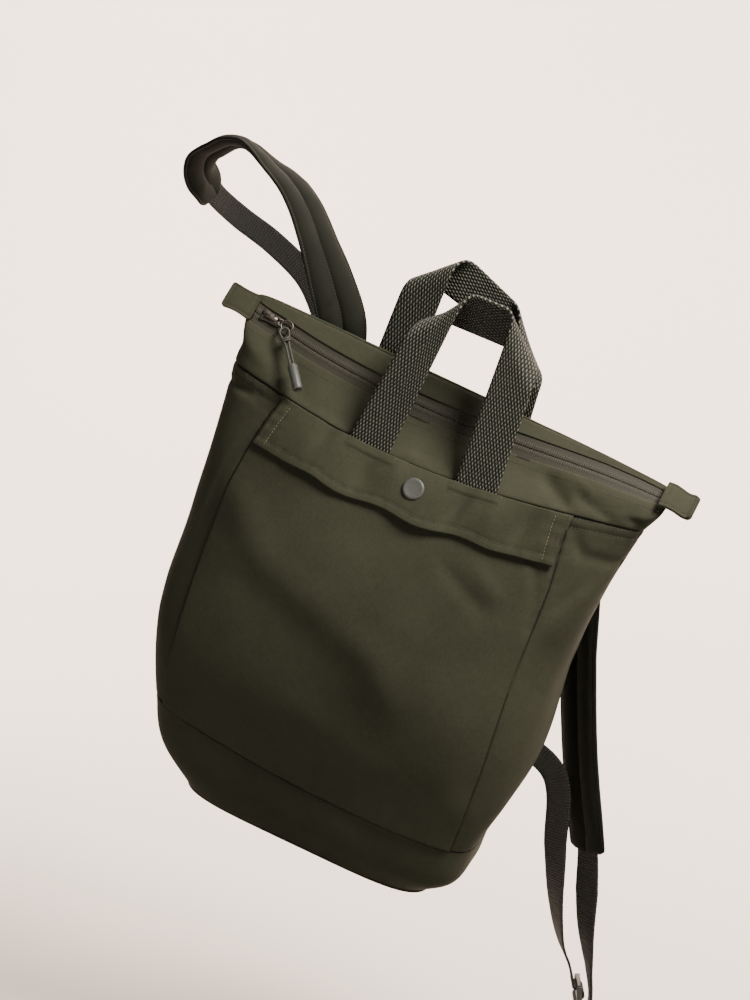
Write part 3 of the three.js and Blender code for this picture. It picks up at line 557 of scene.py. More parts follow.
def yoke(name, turns, seed, node, fold):
    low_rows = YOKE_SEAM - TUCK + np.array([0, 0.5, 1, 1.6, 2.3])
    z, t = np.meshgrid(np.concatenate([low_rows, np.linspace(YOKE_SEAM + 3, RIM, 25)]), turns, indexing="ij")
    points = wall(t, z)
    if fold > 0:
        shares = np.linspace(0, fold, 5)[1:, None] / mouth_span(turns)[None]
        points = np.concatenate([points, mouth(np.broadcast_to(turns, shares.shape), shares)], 0)
    eased(points, -9, -1, 3)
    us, vs = run_lengths(points)
    # The yoke seam's groove profile also paints shade into the cloth's colour along the seam.
    groove_shade = np.exp(-(vs / YOKE_GROOVE_SHADE_WIDE) ** 2)
    raised = 0.25 + folds(points) + rumple(points, 55, 1.3, seed) + rumple(points, 20, 0.4, seed + 5)
    raised = raised * np.clip(vs / 8, 0.25, 1) - YOKE_DEEP * groove_shade
    shape = in_frame(points + normals(points) * raised[..., None])
    return laid_cloth(name, shape, us, vs, node, YOKE_CLOTH, groove_shade=groove_shade)[1]


yoke_turns = np.concatenate([
    np.linspace(-0.499, 0, 26)[:-1], np.linspace(0, 1, 96)[:-1], np.linspace(1, 1.499, 26),
])
laid = yoke("yoke_front_cloth", yoke_turns, 41.3, "yoke_front", MOUTH_EDGE + EDGE_TURN)
zip_edge = tuple(line[14:-14] for line in inset_line(laid, "top", YOKE_STITCH))
sew("zip_edge_stitches", [zip_edge], olive_thread)
yoke("yoke_back_cloth", yoke_turns + 2, 47.9, "yoke_back", 0)

mouth_turns = np.concatenate([
    np.linspace(-0.1, 0, 8)[:-1], np.linspace(0, 1, 110)[:-1], np.linspace(1, 1.1, 8),
])
upper = zip_share(mouth_turns)
facing = np.array(
    [mouth(mouth_turns, upper - 0.02 + (0.99 - upper) * k) for k in np.linspace(0, 1, 14)]
    + [wall(3 - mouth_turns, RIM - drop) for drop in (1.5, 3, 5, 7.5, 10)]
)
eased(facing, 11, -1, 4)
us, vs = run_lengths(facing)
raised = FACING_LIFT + rumple(facing, 50, 0.5, 8.8) * np.clip(vs / 10, 0, 1)
shape = in_frame(facing + normals(facing) * raised[..., None])
laid_cloth("facing_cloth", shape, us, vs, "mouth_facing", FACING_CLOTH)


# Zip: two halves of woven polyester tape with a water-resistant coating over a nylon coil, sewn in
# under the cloth's edges. The coating gives the eye a smooth satin strip, warmer than the cloth, on
# which the coil shows as fine ribs beside the middle line. The tape's weave is drawn coarser to show.
TOOTH, TAPE_YARN, TAPE_THICK, TAPE_SINK, MIDDLE_GAP = 1.7, 1.11, 1.0, 0.2, 0.12
COIL_MIDDLE, COIL_HALF, COIL_HIGH, COIL_FADE = 2.3, 1.6, 0.32, (0.0052, 0.0042)
tape, tree, shader = blank_look("coated_zip_tape")
place = add(tree, "TexCoord")
axes = add(tree, "SeparateXYZ", {0: place.outputs["UV"]})
from_middle = add(tree, "Math", {0: axes.outputs["Y"]}, operation="ABSOLUTE")
coil = add(tree, "MapRange", {
    "Value": from_middle, "From Min": COIL_FADE[0], "From Max": COIL_FADE[1], "To Min": 0.0, "To Max": 1.0,
})
turns = add(tree, "Math", {0: axes.outputs["X"], 1: 2000 * math.pi / TOOTH}, operation="MULTIPLY")
teeth = add(tree, "Math", {0: turns}, operation="SINE")
ribs = add(tree, "Math", {0: teeth, 1: coil}, operation="MULTIPLY")
weave = add(tree, "TexNoise", {"Vector": place.outputs["UV"], "Scale": 1000 / TAPE_YARN, "Detail": 2.0})
shade = add(tree, "Math", {0: ribs, 1: 0.07, 2: weave}, operation="MULTIPLY_ADD")
colour = add(tree, "ValToRGB", {"Fac": shade}, ((0.25, "#24231c"), (0.75, "#36342b")))
bump = add(tree, "Bump", {"Height": ribs, "Strength": 0.35, "Distance": 0.0003})
join(tree, shader, {"Base Color": colour, "Normal": bump, "Roughness": 0.6, "Specular IOR Level": 0.2})

spans = mouth_span(mouth_turns)
edge = MOUTH_EDGE / spans
zip_middle = (edge + upper) / 2
for name, node, low, high in (
    ("tape_front", "zip_tape_front", edge, zip_middle - MIDDLE_GAP / spans),
    ("tape_back", "zip_tape_back", zip_middle + MIDDLE_GAP / spans, upper),
):
    across = [low + (high - low) * k for k in np.linspace(0, 1, 12)]
    stations = np.array([mouth(mouth_turns, share) for share in across])
    off = np.array([(share - zip_middle) * spans for share in across])
    bead = COIL_HIGH * np.exp(-((np.abs(off) - COIL_MIDDLE) / COIL_HALF) ** 2)
    shape = in_frame(stations + normals(stations) * (bead - TAPE_SINK)[..., None])
    us, _ = run_lengths(stations)
    half_tape = grid_mesh(name, shape, np.stack([us, off], -1) / 1000, tape)
    thicken(half_tape, TAPE_THICK)
    settle(half_tape, "zip_tape", node)


# Flap: the bag cloth doubled, hung from the yoke seam and tacked down at both ends with pale thread.
# Its free edge waves away from the pocket, and the handles' feet lie under it in two stitched boxes.
FLAP_WIDTH, FLAP_THICK, BOX_HALF, BOX_DROP = 236, 2.0, 19, 9
EDGE_ROW, TACK_ROW, HEM_ROW = 2.6, 8.6, 6.5
FLAP_LIFT, FLAP_WAVE, EDGE_WAVE, BOX_HIGH, HEM_HIGH = 2.3, 2.6, 1.5, 0.9, 0.4
BOX_MIDDLES = (0.5 - 37 / FLAP_WIDTH, 0.5 + 46 / FLAP_WIDTH)
FLAP_ROWS = [(side, row) for side in ("left", "right") for row in (EDGE_ROW, TACK_ROW)] + [("bottom", HEM_ROW)]


def flap_lift(turn, z):
    down = YOKE_SEAM - z
    ripple = 0.35 + 0.65 * np.sin(turn * 18 - 2.39) * np.clip((0.85 - turn) / 0.15, 0, 1)
    box = np.zeros_like(turn)
    for middle in BOX_MIDDLES:
        beside = np.abs(turn - middle) * FLAP_WIDTH
        box += np.clip((BOX_HALF + 1.5 - beside) / 3, 0, 1) * np.clip((BOX_DROP + 1.5 - down) / 2.5, 0, 1)
    hem = HEM_HIGH * np.exp(-((down - FLAP_DROP) / 6) ** 2)
    billow = FLAP_WAVE * (down / FLAP_DROP) ** 2 * np.maximum(0.05, ripple)
    return 2 * GAP + CLOTH + FLAP_LIFT + billow + BOX_HIGH * box + hem


def flap_hang(turn, z):
    inside = np.clip((turn - 0.12) / 0.12, 0, 1) * np.clip((0.88 - turn) / 0.12, 0, 1)
    return -EDGE_WAVE * ((YOKE_SEAM - z) / FLAP_DROP) ** 2 * inside * np.sin(24.6 * (turn - 0.256))


flap_turns = np.linspace(0.012, 0.988, 150)
flap, laid = wall_cloth(
    "flap_cloth", flap_turns, np.linspace(YOKE_SEAM - FLAP_DROP, YOKE_SEAM - 1, 40), flap_lift, (), 53.3,
    "flap", thick=FLAP_THICK, crumple=0.5, sewn=FLAP_ROWS, hang=flap_hang,
)
edges, tacks = (
    [tuple(line[2:-4] for line in inset_line(laid, side, row)) for side in ("left", "right")]
    for row in (EDGE_ROW, TACK_ROW)
)
sew("flap_tack_stitches", tacks, pale_thread)
lines = edges + [tuple(line[6:-6] for line in inset_line(laid, "bottom", HEM_ROW))]
for middle in BOX_MIDDLES:
    beside = np.abs(flap_turns - middle) * FLAP_WIDTH
    lines.append(tuple(line[beside < BOX_HALF] for line in inset_line(laid, "top", BOX_DROP)))
    for end in (middle - BOX_HALF / FLAP_WIDTH, middle + BOX_HALF / FLAP_WIDTH):
        column = np.argmin(np.abs(flap_turns - end))
        high = laid["vs"][-1, column] - laid["vs"][:, column] < BOX_DROP
        lines.append((laid["shape"][high, column], laid["lifted"][high, column]))
sew("flap_stitches", lines, olive_thread)


# Press stud: a shallow round cap with a turned edge and a slightly hollow face, moulded in grey
# acetal and set through the flap. The mould's fine grit gives the eye an even, soft half-gloss; the
# grit is drawn coarser than real to show.
SNAP_TURN, SNAP_DROP, SNAP_CLEAR, ACETAL_GRIT = 0.52, 20, 0.3, 0.667
SNAP_PROFILE = [
    (0, -0.3), (7.4, -0.3), (8.1, 0.1), (8.3, 0.8), (8.0, 1.5), (7.2, 1.95), (6.4, 2.0), (5.6, 1.8),
    (3, 1.7), (0, 1.7),
]
acetal = grained(
    "moulded_acetal", ACETAL_GRIT, 2.0, "#3b3d3a", "#484a46", {"Roughness": 0.48}, bump=(0.08, 0.2),
)


def turned(name, profile, segments, matrix, look):
    angles = np.linspace(0, 2 * math.pi, segments + 1)
    r, h = (np.array(column, float)[:, None] for column in zip(*profile))
    points = np.stack(np.broadcast_arrays(r * np.cos(angles), r * np.sin(angles), h), -1)
    points[:, -1] = points[:, 0]
    placed = np.array([matrix @ Vector(p) for p in points.reshape(-1, 3) / 1000]).reshape(points.shape)
    uv = np.stack(np.broadcast_arrays(angles / 50, h / 1000), -1)
    return grid_mesh(name, placed, uv, look, True)


snap_z = YOKE_SEAM - SNAP_DROP
patch = wall(*np.meshgrid(SNAP_TURN + np.array([-0.01, 0, 0.01]), snap_z + np.array([-1, 0, 1])))
snap_out = normals(patch)[1, 1]
snap_seat = patch[1, 1] + snap_out * (flap_lift(np.array(SNAP_TURN), np.array(snap_z)) + SNAP_CLEAR)
bag_turn = Matrix.Rotation(ROLL, 3, "Y")
snap_turn = (bag_turn @ Vector(snap_out)).to_track_quat("Z", "Y").to_matrix().to_4x4()
cap = turned("snap", SNAP_PROFILE, 40, Matrix.Translation(in_frame(snap_seat)) @ snap_turn, acetal)
settle(cap, "grey_plastic", "snap_cap")


# Carry handles: flat nylon webbing, sewn under the flap and to the back of the yoke. It rises from
# each foot and rolls back over a diagonal at both top corners, so that its reverse shows in the arch.
# The plain weave of thick yarn turns with each strip; the floats' paleness and the gaps' darkness are painted
# light and shade of its relief.
FLOAT_WIDE, FLOAT_LONG, YARN_BLOTCH, HANDLE_WIDE, WEB_THICK = 2.54, 5.6, 2.38, 32, 1.8
HANDLES = [
    {"name": "handle_front", "turn": 0.5, "leg": 43, "rise": 114, "roll": 8, "lean": 0.1,
     "close_left": 0.14, "close_right": 0.05, "slope": 0, "tuck": 0.6, "z": 338, "clear": 5.5, "start": -7},
    {"name": "handle_back", "turn": 2.53, "leg": 50, "rise": 102, "roll": 8, "lean": -0.03,
     "close_left": 0.05, "close_right": 0.05, "slope": 0.3, "tuck": 0, "z": 334, "clear": 0.9, "start": 2.6},
]


def woven(name, across_pitch, along_pitch, ribbed, dark, middle, light):
    made, tree, shader = blank_look(name)
    place = add(tree, "TexCoord")
    axes = add(tree, "SeparateXYZ", {0: place.outputs["UV"]})
    waves = []
    for axis, pitch in (("X", across_pitch), ("Y", along_pitch)):
        turns = add(tree, "Math", {0: axes.outputs[axis], 1: 2000 * math.pi / pitch}, operation="MULTIPLY")
        waves.append(add(tree, "Math", {0: turns}, operation="SINE"))
    cell = add(tree, "Math", {0: waves[0], 1: waves[1]}, operation="MULTIPLY")
    raised = add(tree, "Math", {0: waves[1], 1: ribbed, 2: cell}, operation="MULTIPLY_ADD")
    blotch = add(tree, "TexNoise", {"Vector": place.outputs["UV"], "Scale": 1000 / YARN_BLOTCH, "Detail": 1.0})
    # Painted light and shade: the colour follows the weave's height, pale on raised floats and ribs, dark in
    # the gaps between them.
    lit = add(tree, "Math", {0: blotch, 1: 0.7, 2: raised}, operation="MULTIPLY_ADD")
    yarn = add(tree, "ValToRGB", {"Fac": lit}, ((0.3, dark), (0.62, middle), (0.95, light)))
    bump = add(tree, "Bump", {"Height": raised, "Strength": 0.8, "Distance": 0.0006})
    join(tree, shader, {"Base Color": yarn, "Normal": bump, "Roughness": 0.72, "Specular IOR Level": 0.3})
    return made


handle_webbing = woven("woven_nylon", FLOAT_WIDE, FLOAT_LONG, 0.0, "#10100c", "#2b2c25", "#66685c")
for handle in HANDLES:
    leg, rise, roll = handle["leg"], handle["rise"], handle["roll"]
    half = rise + leg
    first = np.linspace(handle["start"], half, 110)
    second = np.linspace(half, 2 * half - handle["start"], 110)
    across, s = np.meshgrid(
        np.linspace(-HANDLE_WIDE / 2, HANDLE_WIDE / 2, 15), np.concatenate([first, second[1:]]),
    )
    mirror = np.where(s > half, -1, 1)
    up = np.where(mirror > 0, s, 2 * half - s)
    x = -leg + across
    bend, along = (up - x) / math.sqrt(2), (up + x) / math.sqrt(2)
    roll_length = math.pi * roll
    start = half / math.sqrt(2) - roll_length / 2
    angle = np.clip((bend - start) / roll, 0, math.pi)
    past = np.where(
        bend > start + roll_length, 2 * start + roll_length - bend, start + roll * np.sin(angle),
    )
    height = np.where(bend < start, bend, past)
    px, pu = (along - height) / math.sqrt(2), (along + height) / math.sqrt(2)
    back = roll * (1 - np.cos(angle)) - handle["tuck"] * angle / math.pi * (pu - rise)
    foot = wall(handle["turn"], handle["z"])
    foot_y = foot[1] + np.sign(foot[1]) * handle["clear"]
    close = np.where(mirror > 0, handle["close_left"], -handle["close_right"])
    fx = foot[0] + mirror * px + close * pu * np.minimum(1, -px / leg)
    fz = foot[2] + pu * (1 - handle["slope"] * mirror * px / rise)
    points = np.stack([fx, foot_y + handle["lean"] * pu + back, fz], -1)
    points = points + normals(points) * rumple(points, 35, 0.5, 3.3)[..., None]
    uv = np.stack([across, s], -1) / 1000
    strip = grid_mesh(handle["name"] + "_web", in_frame(points), uv, handle_webbing)
    thicken(strip, WEB_THICK, 0.0)
    settle(strip, "woven_webbing", handle["name"])


# Shoulder straps: foam pads in the bag cloth, with bound edges and one stitched channel, and nylon
# webbing below, sewn into the yoke and the back wall. The left one stands in a loop, the right hangs
# slack. The webbing's fine yarn lies in straight ribs. Pads and webbing are coloured far darker than
# the bag cloth and the handles, which is painted shade.
RIB_WIDE, RIB_LONG, PAD_TWILL, WEB_HALF, PAD_HALF = 1.8, 2.4, 0.7, 10, 19
PAD_BOUND, PAD_STITCHED, PAD_EDGE, PAD_FULL, PAD_PINCH = 0.88, 0.92, 1.1, 3.1, 1.7
PAD_STITCH = {"pitch": 2.4, "length": 1.8, "radius": 0.22}
LOOP_FRONT, BEHIND_FACE = np.array([0.285, -0.92, 0.267]), np.array([0, 1, 0.05])
# Each row of a route gives x, y and z in mm, and the turn of the strap's face in degrees
LEFT_PAD = [
    (105, -55, -124, 5), (96, -52, -93, 24), (84, -45, -65, 41), (69, -34, -38, 49), (55, -26, -22, 57),
    (36, -16, -10, 72), (14, -5, 2.5, 83), (0, 0, 4.2, 88), (-18, 9, -2, 96), (-33, 20, -12, 110),
    (-42, 38, -28, 130), (-40, 60, -47, 155),
]
LEFT_WEB_UPPER = [
    (-41, 49, -37.5, 143), (-39, 61.5, -48.5, 155), (-27, 82, -68, 165), (-4, 101, -92, 172),
    (22, 110, -122, 178), (38, 110, -160, 180), (43.4, 106.5, -179.6, 180),
]
LEFT_WEB_LOWER = [
    (48, 101, -199.4, 0), (51, 86, -245, 0), (42, 44, -310, 0), (32, -4, -344, 0), (24, -35, -366, 0),
]
RIGHT_PAD = [
    (292, -46, -258, 0), (291, -41, -291, -12), (290, -35, -373, -33), (293, -35, -456, -33),
    (302, -37, -539, -33),
]
RIGHT_WEB_UPPER = [
    (300.8, -36.8, -528, -33), (302, -37, -540, -30), (302, -37, -573, -20), (302, -37, -606, -40),
    (305, -37, -640, -64), (307, -37, -664, -73), (306, -37, -676, -73), (302, -37, -681, -73),
    (298, -37, -677, -73), (297, -37, -670, -73),
]
RIGHT_WEB_LOWER = [
    (273, -41, -473, 0), (276, -39, -539, -20), (277, -38, -585, -45), (282, -38, -620, -64),
    (290, -37, -642, -73), (294, -37, -650, -73),
]
ADJUSTERS = {
    "left": {"centre": (45.7, 103.75, -189.5), "travel": (-4.6, 5.5, 19.8), "face": (0, 1, 0.05)},
    "right": {"centre": (297, -37, -660.5), "travel": (0, 0, 1), "face": (-0.956, -0.292, 0)},
}
THREADING = ((10.4, 2.4), (6.8, 3.0), (4.0, 0), (1.5, -3.3), (-0.6, -3.4))
# Painted shade: the pads' cloth and the straps' webbing are coloured far darker than the bag cloth and the
# handle webbing, for the shadow they lie in.
pad_cloth_shaded = coated_cloth("coated_polyester_shaded", "#0f100b", "#1c1d16", 0.85, PAD_TWILL)
strap_webbing_shaded = woven("ribbed_nylon_shaded", RIB_WIDE, RIB_LONG, 1.0, "#050504", "#0e0e0b", "#22221c")


def on_bag(turn, z, clear):
    patch = wall(*np.meshgrid([turn - 0.004, turn, turn + 0.004], [z - 0.5, z, z + 0.5]))
    return (*(in_frame(patch[1, 1] + normals(patch)[1, 1] * clear) * 1000), 0)


def smooth_run(rows, count):
    pts = np.array([r[:3] for r in rows], float)
    turn = np.array([r[3] for r in rows], float)
    pts = np.concatenate([[2 * pts[0] - pts[1]], pts, [2 * pts[-1] - pts[-2]]])
    places, angles = [], []
    for u in np.linspace(0, 1, count):
        p = u * (len(rows) - 1)
        i = min(len(rows) - 2, int(p))
        w = p - i
        x0, x1, x2, x3 = pts[i:i + 4]
        d0, d1, d2 = (max(1e-4, np.linalg.norm(b - a)) ** 0.5 for a, b in ((x0, x1), (x1, x2), (x2, x3)))
        t1 = ((x1 - x0) / d0 - (x2 - x0) / (d0 + d1) + (x2 - x1) / d1) * d1
        t2 = ((x2 - x1) / d1 - (x3 - x1) / (d1 + d2) + (x3 - x2) / d2) * d1
        bend, twist = -3 * x1 + 3 * x2 - 2 * t1 - t2, 2 * x1 - 2 * x2 + t1 + t2
        places.append(x1 + t1 * w + bend * w ** 2 + twist * w ** 3)
        angles.append(math.radians(turn[i] + (turn[i + 1] - turn[i]) * w))
    places = np.array(places)
    return places, unit(np.gradient(places, axis=0)), np.array(angles)


def square_to(travel, face):
    return unit(face - travel * np.sum(face * travel, -1, keepdims=True))


def strap_frame(rows, count, hold):
    places, travel, angle = smooth_run(rows, count)
    if hold == "hanging":
        out = square_to(travel, np.stack([np.sin(angle), -np.cos(angle), np.zeros_like(angle)], -1))
    elif hold == "behind":
        out = square_to(travel, BEHIND_FACE)
    else:
        front = square_to(travel, LOOP_FRONT)
        out = front * np.cos(angle)[:, None] + np.cross(travel, front) * np.sin(angle)[:, None]
    return places, out, np.cross(out, travel)


def threaded(rows, side):
    middle, face = (np.array(ADJUSTERS[side][key], float) for key in ("centre", "face"))
    inward = unit(middle - np.array(rows[-1][:3]))
    out = square_to(inward, face)
    return rows[:-1] + [(*(middle - inward * off + out * up), rows[-1][3]) for off, up in THREADING]


def web(name, rows, count, hold):
    places, _, wide = strap_frame(rows, count, hold)
    offs = np.linspace(-WEB_HALF, WEB_HALF, 9)
    points = places[:, None] + wide[:, None] * offs[None, :, None]
    uv = np.stack(np.broadcast_arrays(offs[None, :], run_along(places)[:, None]), -1) / 1000
    strip = grid_mesh(name, points / 1000, uv, strap_webbing_shaded)
    thicken(strip, WEB_THICK, 0.0)
    settle(strip, "woven_webbing", "strap_" + name)


def pad(name, rows, count, hold, node, seed, pinch, corner):
    places, out, wide = strap_frame(rows, count, hold)
    run = run_along(places)
    ends = np.minimum(np.linspace(0, 1, count), np.linspace(1, 0, count))
    fullness = np.minimum(1, 0.35 + 9 * ends)
    w = np.concatenate([np.linspace(-1, 1, 41), np.linspace(1, -1, 41)])
    sign = np.repeat([1.0, -1.0], 41)
    roll = np.sin(np.clip((np.abs(w) - 0.03) / 0.85, 0, 1) * math.pi) ** 0.55
    half = np.where(np.abs(w) > PAD_BOUND, PAD_EDGE, PAD_EDGE + PAD_FULL * roll)
    crease = np.array([
        [noise.noise(Vector((r / 16 + seed, a * 1.1 + 3 * (a > 0), s * 2))) for a, s in zip(w, sign)]
        for r in run
    ])
    half = half[None] * fullness[:, None] + 0.5 * crease * (np.abs(w) < 0.86)
    pinched = np.exp(-((run[:, None] - pinch + 9 * (w - 0.5)) / 2.6) ** 2) * np.exp(-((w - 0.5) / 0.33) ** 2)
    half = half - PAD_PINCH * pinched * (sign > 0)
    to_end = np.minimum(corner, run[-1] - run)
    half_wide = PAD_HALF - corner + np.sqrt(corner ** 2 - (corner - to_end) ** 2)
    aside = wide[:, None] * (w * half_wide[:, None])[..., None]
    points = places[:, None] + aside + out[:, None] * (half * sign)[..., None]
    points = np.concatenate([points, points[:, :1]], 1)[:, ::-1]
    uv = np.stack(np.broadcast_arrays(np.append(w, w[0])[None, ::-1] * PAD_HALF, run[:, None]), -1) / 1000
    piece = grid_mesh(name, points / 1000, uv, pad_cloth_shaded, True, capped=True, outward=True)
    settle(piece, "coated_cloth", node)
    lines = []
    for face in (1, -1):
        channel = np.argmin(np.abs(w) + (sign != face))
        stitched = [(share * half_wide, PAD_EDGE * fullness) for share in (-PAD_STITCHED, PAD_STITCHED)]
        stitched.append((np.full(count, w[channel] * PAD_HALF), half[:, channel]))
        for across, high in stitched:
            line = places + wide * across[:, None] + out * face * high[:, None]
            lines.append((line / 1000, (line + out * face) / 1000))
    sew(name + "_stitches", lines, olive_thread, **PAD_STITCH)


pad("pad_left", [on_bag(2.917, 347, 5.5)] + LEFT_PAD, 150, "loop", "strap_pad_left", 1.7, 42, 18.5)
pad("pad_right", [on_bag(2.083, 347, 2.2)] + RIGHT_PAD, 150, "hanging", "strap_pad_right", 6.1, 118, 5)
left_lower = threaded([on_bag(2.9, 100, 1.2)] + LEFT_WEB_LOWER[::-1], "left")[::-1]
right_lower = threaded([on_bag(2.1, 122, 1.2)] + RIGHT_WEB_LOWER, "right")
web("web_left_upper", threaded(LEFT_WEB_UPPER, "left"), 160, "loop")
web("web_left_lower", left_lower, 160, "behind")
web("web_right_upper", threaded(RIGHT_WEB_UPPER, "right"), 190, "hanging")
web("web_right_lower", right_lower, 160, "hanging")


# Zip ends: a doubled strip of the bag cloth, folded over each end of the tape and sewn in a box.
# The right one dips away from the bag and turns up again at its free end.
TAB_LENGTH, TAB_WIDTH, TAB_THICK, TAB_LIFT, TAB_OVERLAP, TAB_ROUND = 25, 21, 3.4, 1.8, 2, 0.0008
BOX_LOW, BOX_HIGH_ROW, BOX_LEFT, BOX_RIGHT = 4, 32, 3, 27


def mouth_axes(turn):
    along = unit(mouth(turn + 0.01, 0.5) - mouth(turn - 0.01, 0.5))
    out = unit(np.cross(along, mouth(turn, 0.9) - mouth(turn, 0.1)))
    return along, np.cross(out, along), out


for name, turn, level, side, curl in (
    ("zip_tab_left", -0.12, -0.06, -1, 0.4), ("zip_tab_right", 1.12, 1.06, 1, -3.2),
):
    along, across, out = mouth_axes(level)
    middle = mouth(turn, 0.5) + along * side * (TAB_LENGTH / 2 - TAB_OVERLAP) + out * TAB_LIFT
    wide, long = np.meshgrid(np.linspace(-1, 1, 31), np.linspace(-1, 1, 37))
    outward = long * side
    puff = 0.5 * np.cos(wide * 1.4) + 0.35 * np.cos(long * 2.2)
    for edge_share in (np.abs(wide), np.abs(long)):
        puff = puff - 0.35 * np.exp(-((edge_share - 0.78) / 0.07) ** 2)
    bend = curl * (np.sin((outward + 0.2) * 2.4) - 0.5 * outward + 0.44 * np.clip(-outward, 0, 1))
    trim = 1.6 * np.clip(np.abs(wide) - 0.8, 0, 1) * np.clip(np.abs(long) - 0.84, 0, 1)
    half_wide = TAB_WIDTH / 2 - 0.3 - 0.4 * np.cos(long * 3)
    points = (
        middle
        + along * ((long - np.sign(long) * trim) * TAB_LENGTH / 2)[..., None]
        + across * ((wide - np.sign(wide) * trim) * half_wide)[..., None]
        + out * (TAB_THICK + puff - 0.8 + bend)[..., None]
    )
    laid, lifted = in_frame(points), in_frame(points + out)
    uv = np.stack([long * TAB_LENGTH / 2, wide * TAB_WIDTH / 2], -1) / 1000
    tab = grid_mesh(name + "_cloth", laid, uv, bag_cloth, outward=True)
    thicken(tab, TAB_THICK)
    rounding = tab.modifiers.new("fold", "BEVEL")
    rounding.width, rounding.segments = TAB_ROUND, 3
    settle(tab, "coated_cloth", name)
    long_rows, wide_rows = slice(BOX_LOW, BOX_HIGH_ROW + 1), slice(BOX_LEFT, BOX_RIGHT + 1)
    box = [(laid[long_rows, c], lifted[long_rows, c]) for c in (BOX_LEFT, BOX_RIGHT)]
    box += [(laid[r, wide_rows], lifted[r, wide_rows]) for r in (BOX_LOW, BOX_HIGH_ROW)]
    sew(name + "_stitches", box, olive_thread, **PAD_STITCH)


# Slider: die-cast zinc, plated a warm dark grey, on the zip's left end. A waisted top plate with a
# notched mouth carries an arched bridge, and a forked arm from the bridge holds a wire ring. The
# plating gives the eye a soft metal shine, worn in patches that are drawn coarser than real to show.
SLIDER_TURN, SLIDER_SEAT, SLIDER_UP, SLIDER_EDGE = -0.03, 0.5, 3, 0.00028
RING_RADIUS, RING_WIRE, RING_LIFT, RING_DRAWN, WORN_PATCH = 4.6, 0.8, 2.7, 0.9, 1.43
TOP_PLATE = [
    (-8, -4.3), (-8, -1.3), (-6, 0), (-8, 1.3), (-8, 4.3), (-6.5, 4.5), (-4, 4.2), (-1, 3.4), (4, 3.2),
    (7.4, 3.4), (8, 2.6), (8, -2.6), (7.4, -3.4), (4, -3.2), (-1, -3.4), (-4, -4.2), (-6.5, -4.5),
]
FLANK = [(-7, -0.6), (7, -0.6), (7, 0.8), (-7, 0.8)]
BRIDGE = [
    (-5.4, 1.5), (-5.2, 3.2), (-4, 4.2), (-1, 4.5), (3, 4.3), (5.2, 3.5), (6, 1.5),
    (4.6, 1.5), (4, 2.6), (2.4, 3.2), (-1, 3.3), (-3.2, 3.1), (-4, 1.5),
]
plated_zinc = grained(
    "plated_zinc", WORN_PATCH, 3.0, "#48433f", "#655f59", {"Metallic": 0.9}, worn=(0.28, 0.5),
)


def slab(bm, outline, low, high, matrix):
    face = bm.faces.new([bm.verts.new(matrix @ Vector((x, y, low)) / 1000) for x, y in outline])
    made = bmesh.ops.extrude_face_region(bm, geom=[face])
    moved = [v for v in made["geom"] if isinstance(v, bmesh.types.BMVert)]
    bmesh.ops.translate(bm, verts=moved, vec=matrix.to_3x3() @ Vector((0, 0, high - low)) / 1000)


def bar(bm, x0, x1, y0, y1, low, high, matrix):
    slab(bm, [(x0, y0), (x1, y0), (x1, y1), (x0, y1)], low, high, matrix)


def rounded(bm, width, segments):
    bmesh.ops.recalc_face_normals(bm, faces=bm.faces)
    bmesh.ops.bevel(
        bm, geom=bm.edges[:], offset=width, segments=segments, affect="EDGES", profile=0.5, material=-1,
        clamp_overlap=True,
    )


def hard_piece(name, bm, look, slot, *nodes):
    bmesh.ops.recalc_face_normals(bm, faces=bm.faces)
    piece = finished(name, bm, look)
    settle(piece, slot, *nodes)
    return piece


along, across, out = mouth_axes(SLIDER_TURN)
share = (MOUTH_EDGE / mouth_span(SLIDER_TURN) + zip_share(SLIDER_TURN)) / 2
slider_seat = mouth(SLIDER_TURN, share) + out * SLIDER_SEAT + across * SLIDER_UP
turned_axes = [bag_turn @ Vector(axis) for axis in (along, across, out)]
slider_matrix = Matrix(turned_axes).transposed().to_4x4()
slider_matrix.translation = Vector(in_frame(slider_seat) * 1000)
upright = Matrix(((1, 0, 0, 0), (0, 0, 1, 0), (0, 1, 0, 0), (0, 0, 0, 1)))
bm = bmesh.new()
slab(bm, TOP_PLATE, 0.2, 1.7, slider_matrix)
for y in (-3.6, 2.9):
    slab(bm, FLANK, y, y + 0.7, slider_matrix @ upright)
slab(bm, BRIDGE, -1.5, 1.5, slider_matrix @ upright)
for y in (-2.7, 1.6):
    bar(bm, 1.5, 9.2, y, y + 1.1, 2.4, 3.6, slider_matrix)
bar(bm, 1.2, 2.6, -2.7, 2.7, 2.3, 3.5, slider_matrix)
rounded(bm, SLIDER_EDGE, 2)
hard_piece("zip_slider_body", bm, plated_zinc, "zip_metal", "zip_slider")

ring_centre = slider_seat + along * (8 + RING_RADIUS + RING_WIRE + GAP) + out * RING_LIFT
ring_matrix = slider_matrix.copy()
ring_matrix.translation = Vector(in_frame(ring_centre))
wire_end = Matrix.Translation((RING_RADIUS / 1000, 0, 0)) @ Matrix.Rotation(math.pi / 2, 4, "X")
bm = bmesh.new()
bmesh.ops.create_circle(bm, segments=12, radius=RING_WIRE / 1000, matrix=wire_end)
bmesh.ops.spin(
    bm, geom=bm.edges[:] + bm.verts[:], cent=(0, 0, 0), axis=(0, 0, 1), angle=2 * math.pi, steps=36,
    use_merge=True,
)
bmesh.ops.remove_doubles(bm, verts=bm.verts, dist=1e-6)
for v in bm.verts:
    if v.co.y > 0:
        v.co.y *= RING_DRAWN
bmesh.ops.transform(bm, matrix=ring_matrix, verts=bm.verts)
hard_piece("pull_ring", bm, plated_zinc, "zip_metal", "slider_ring")


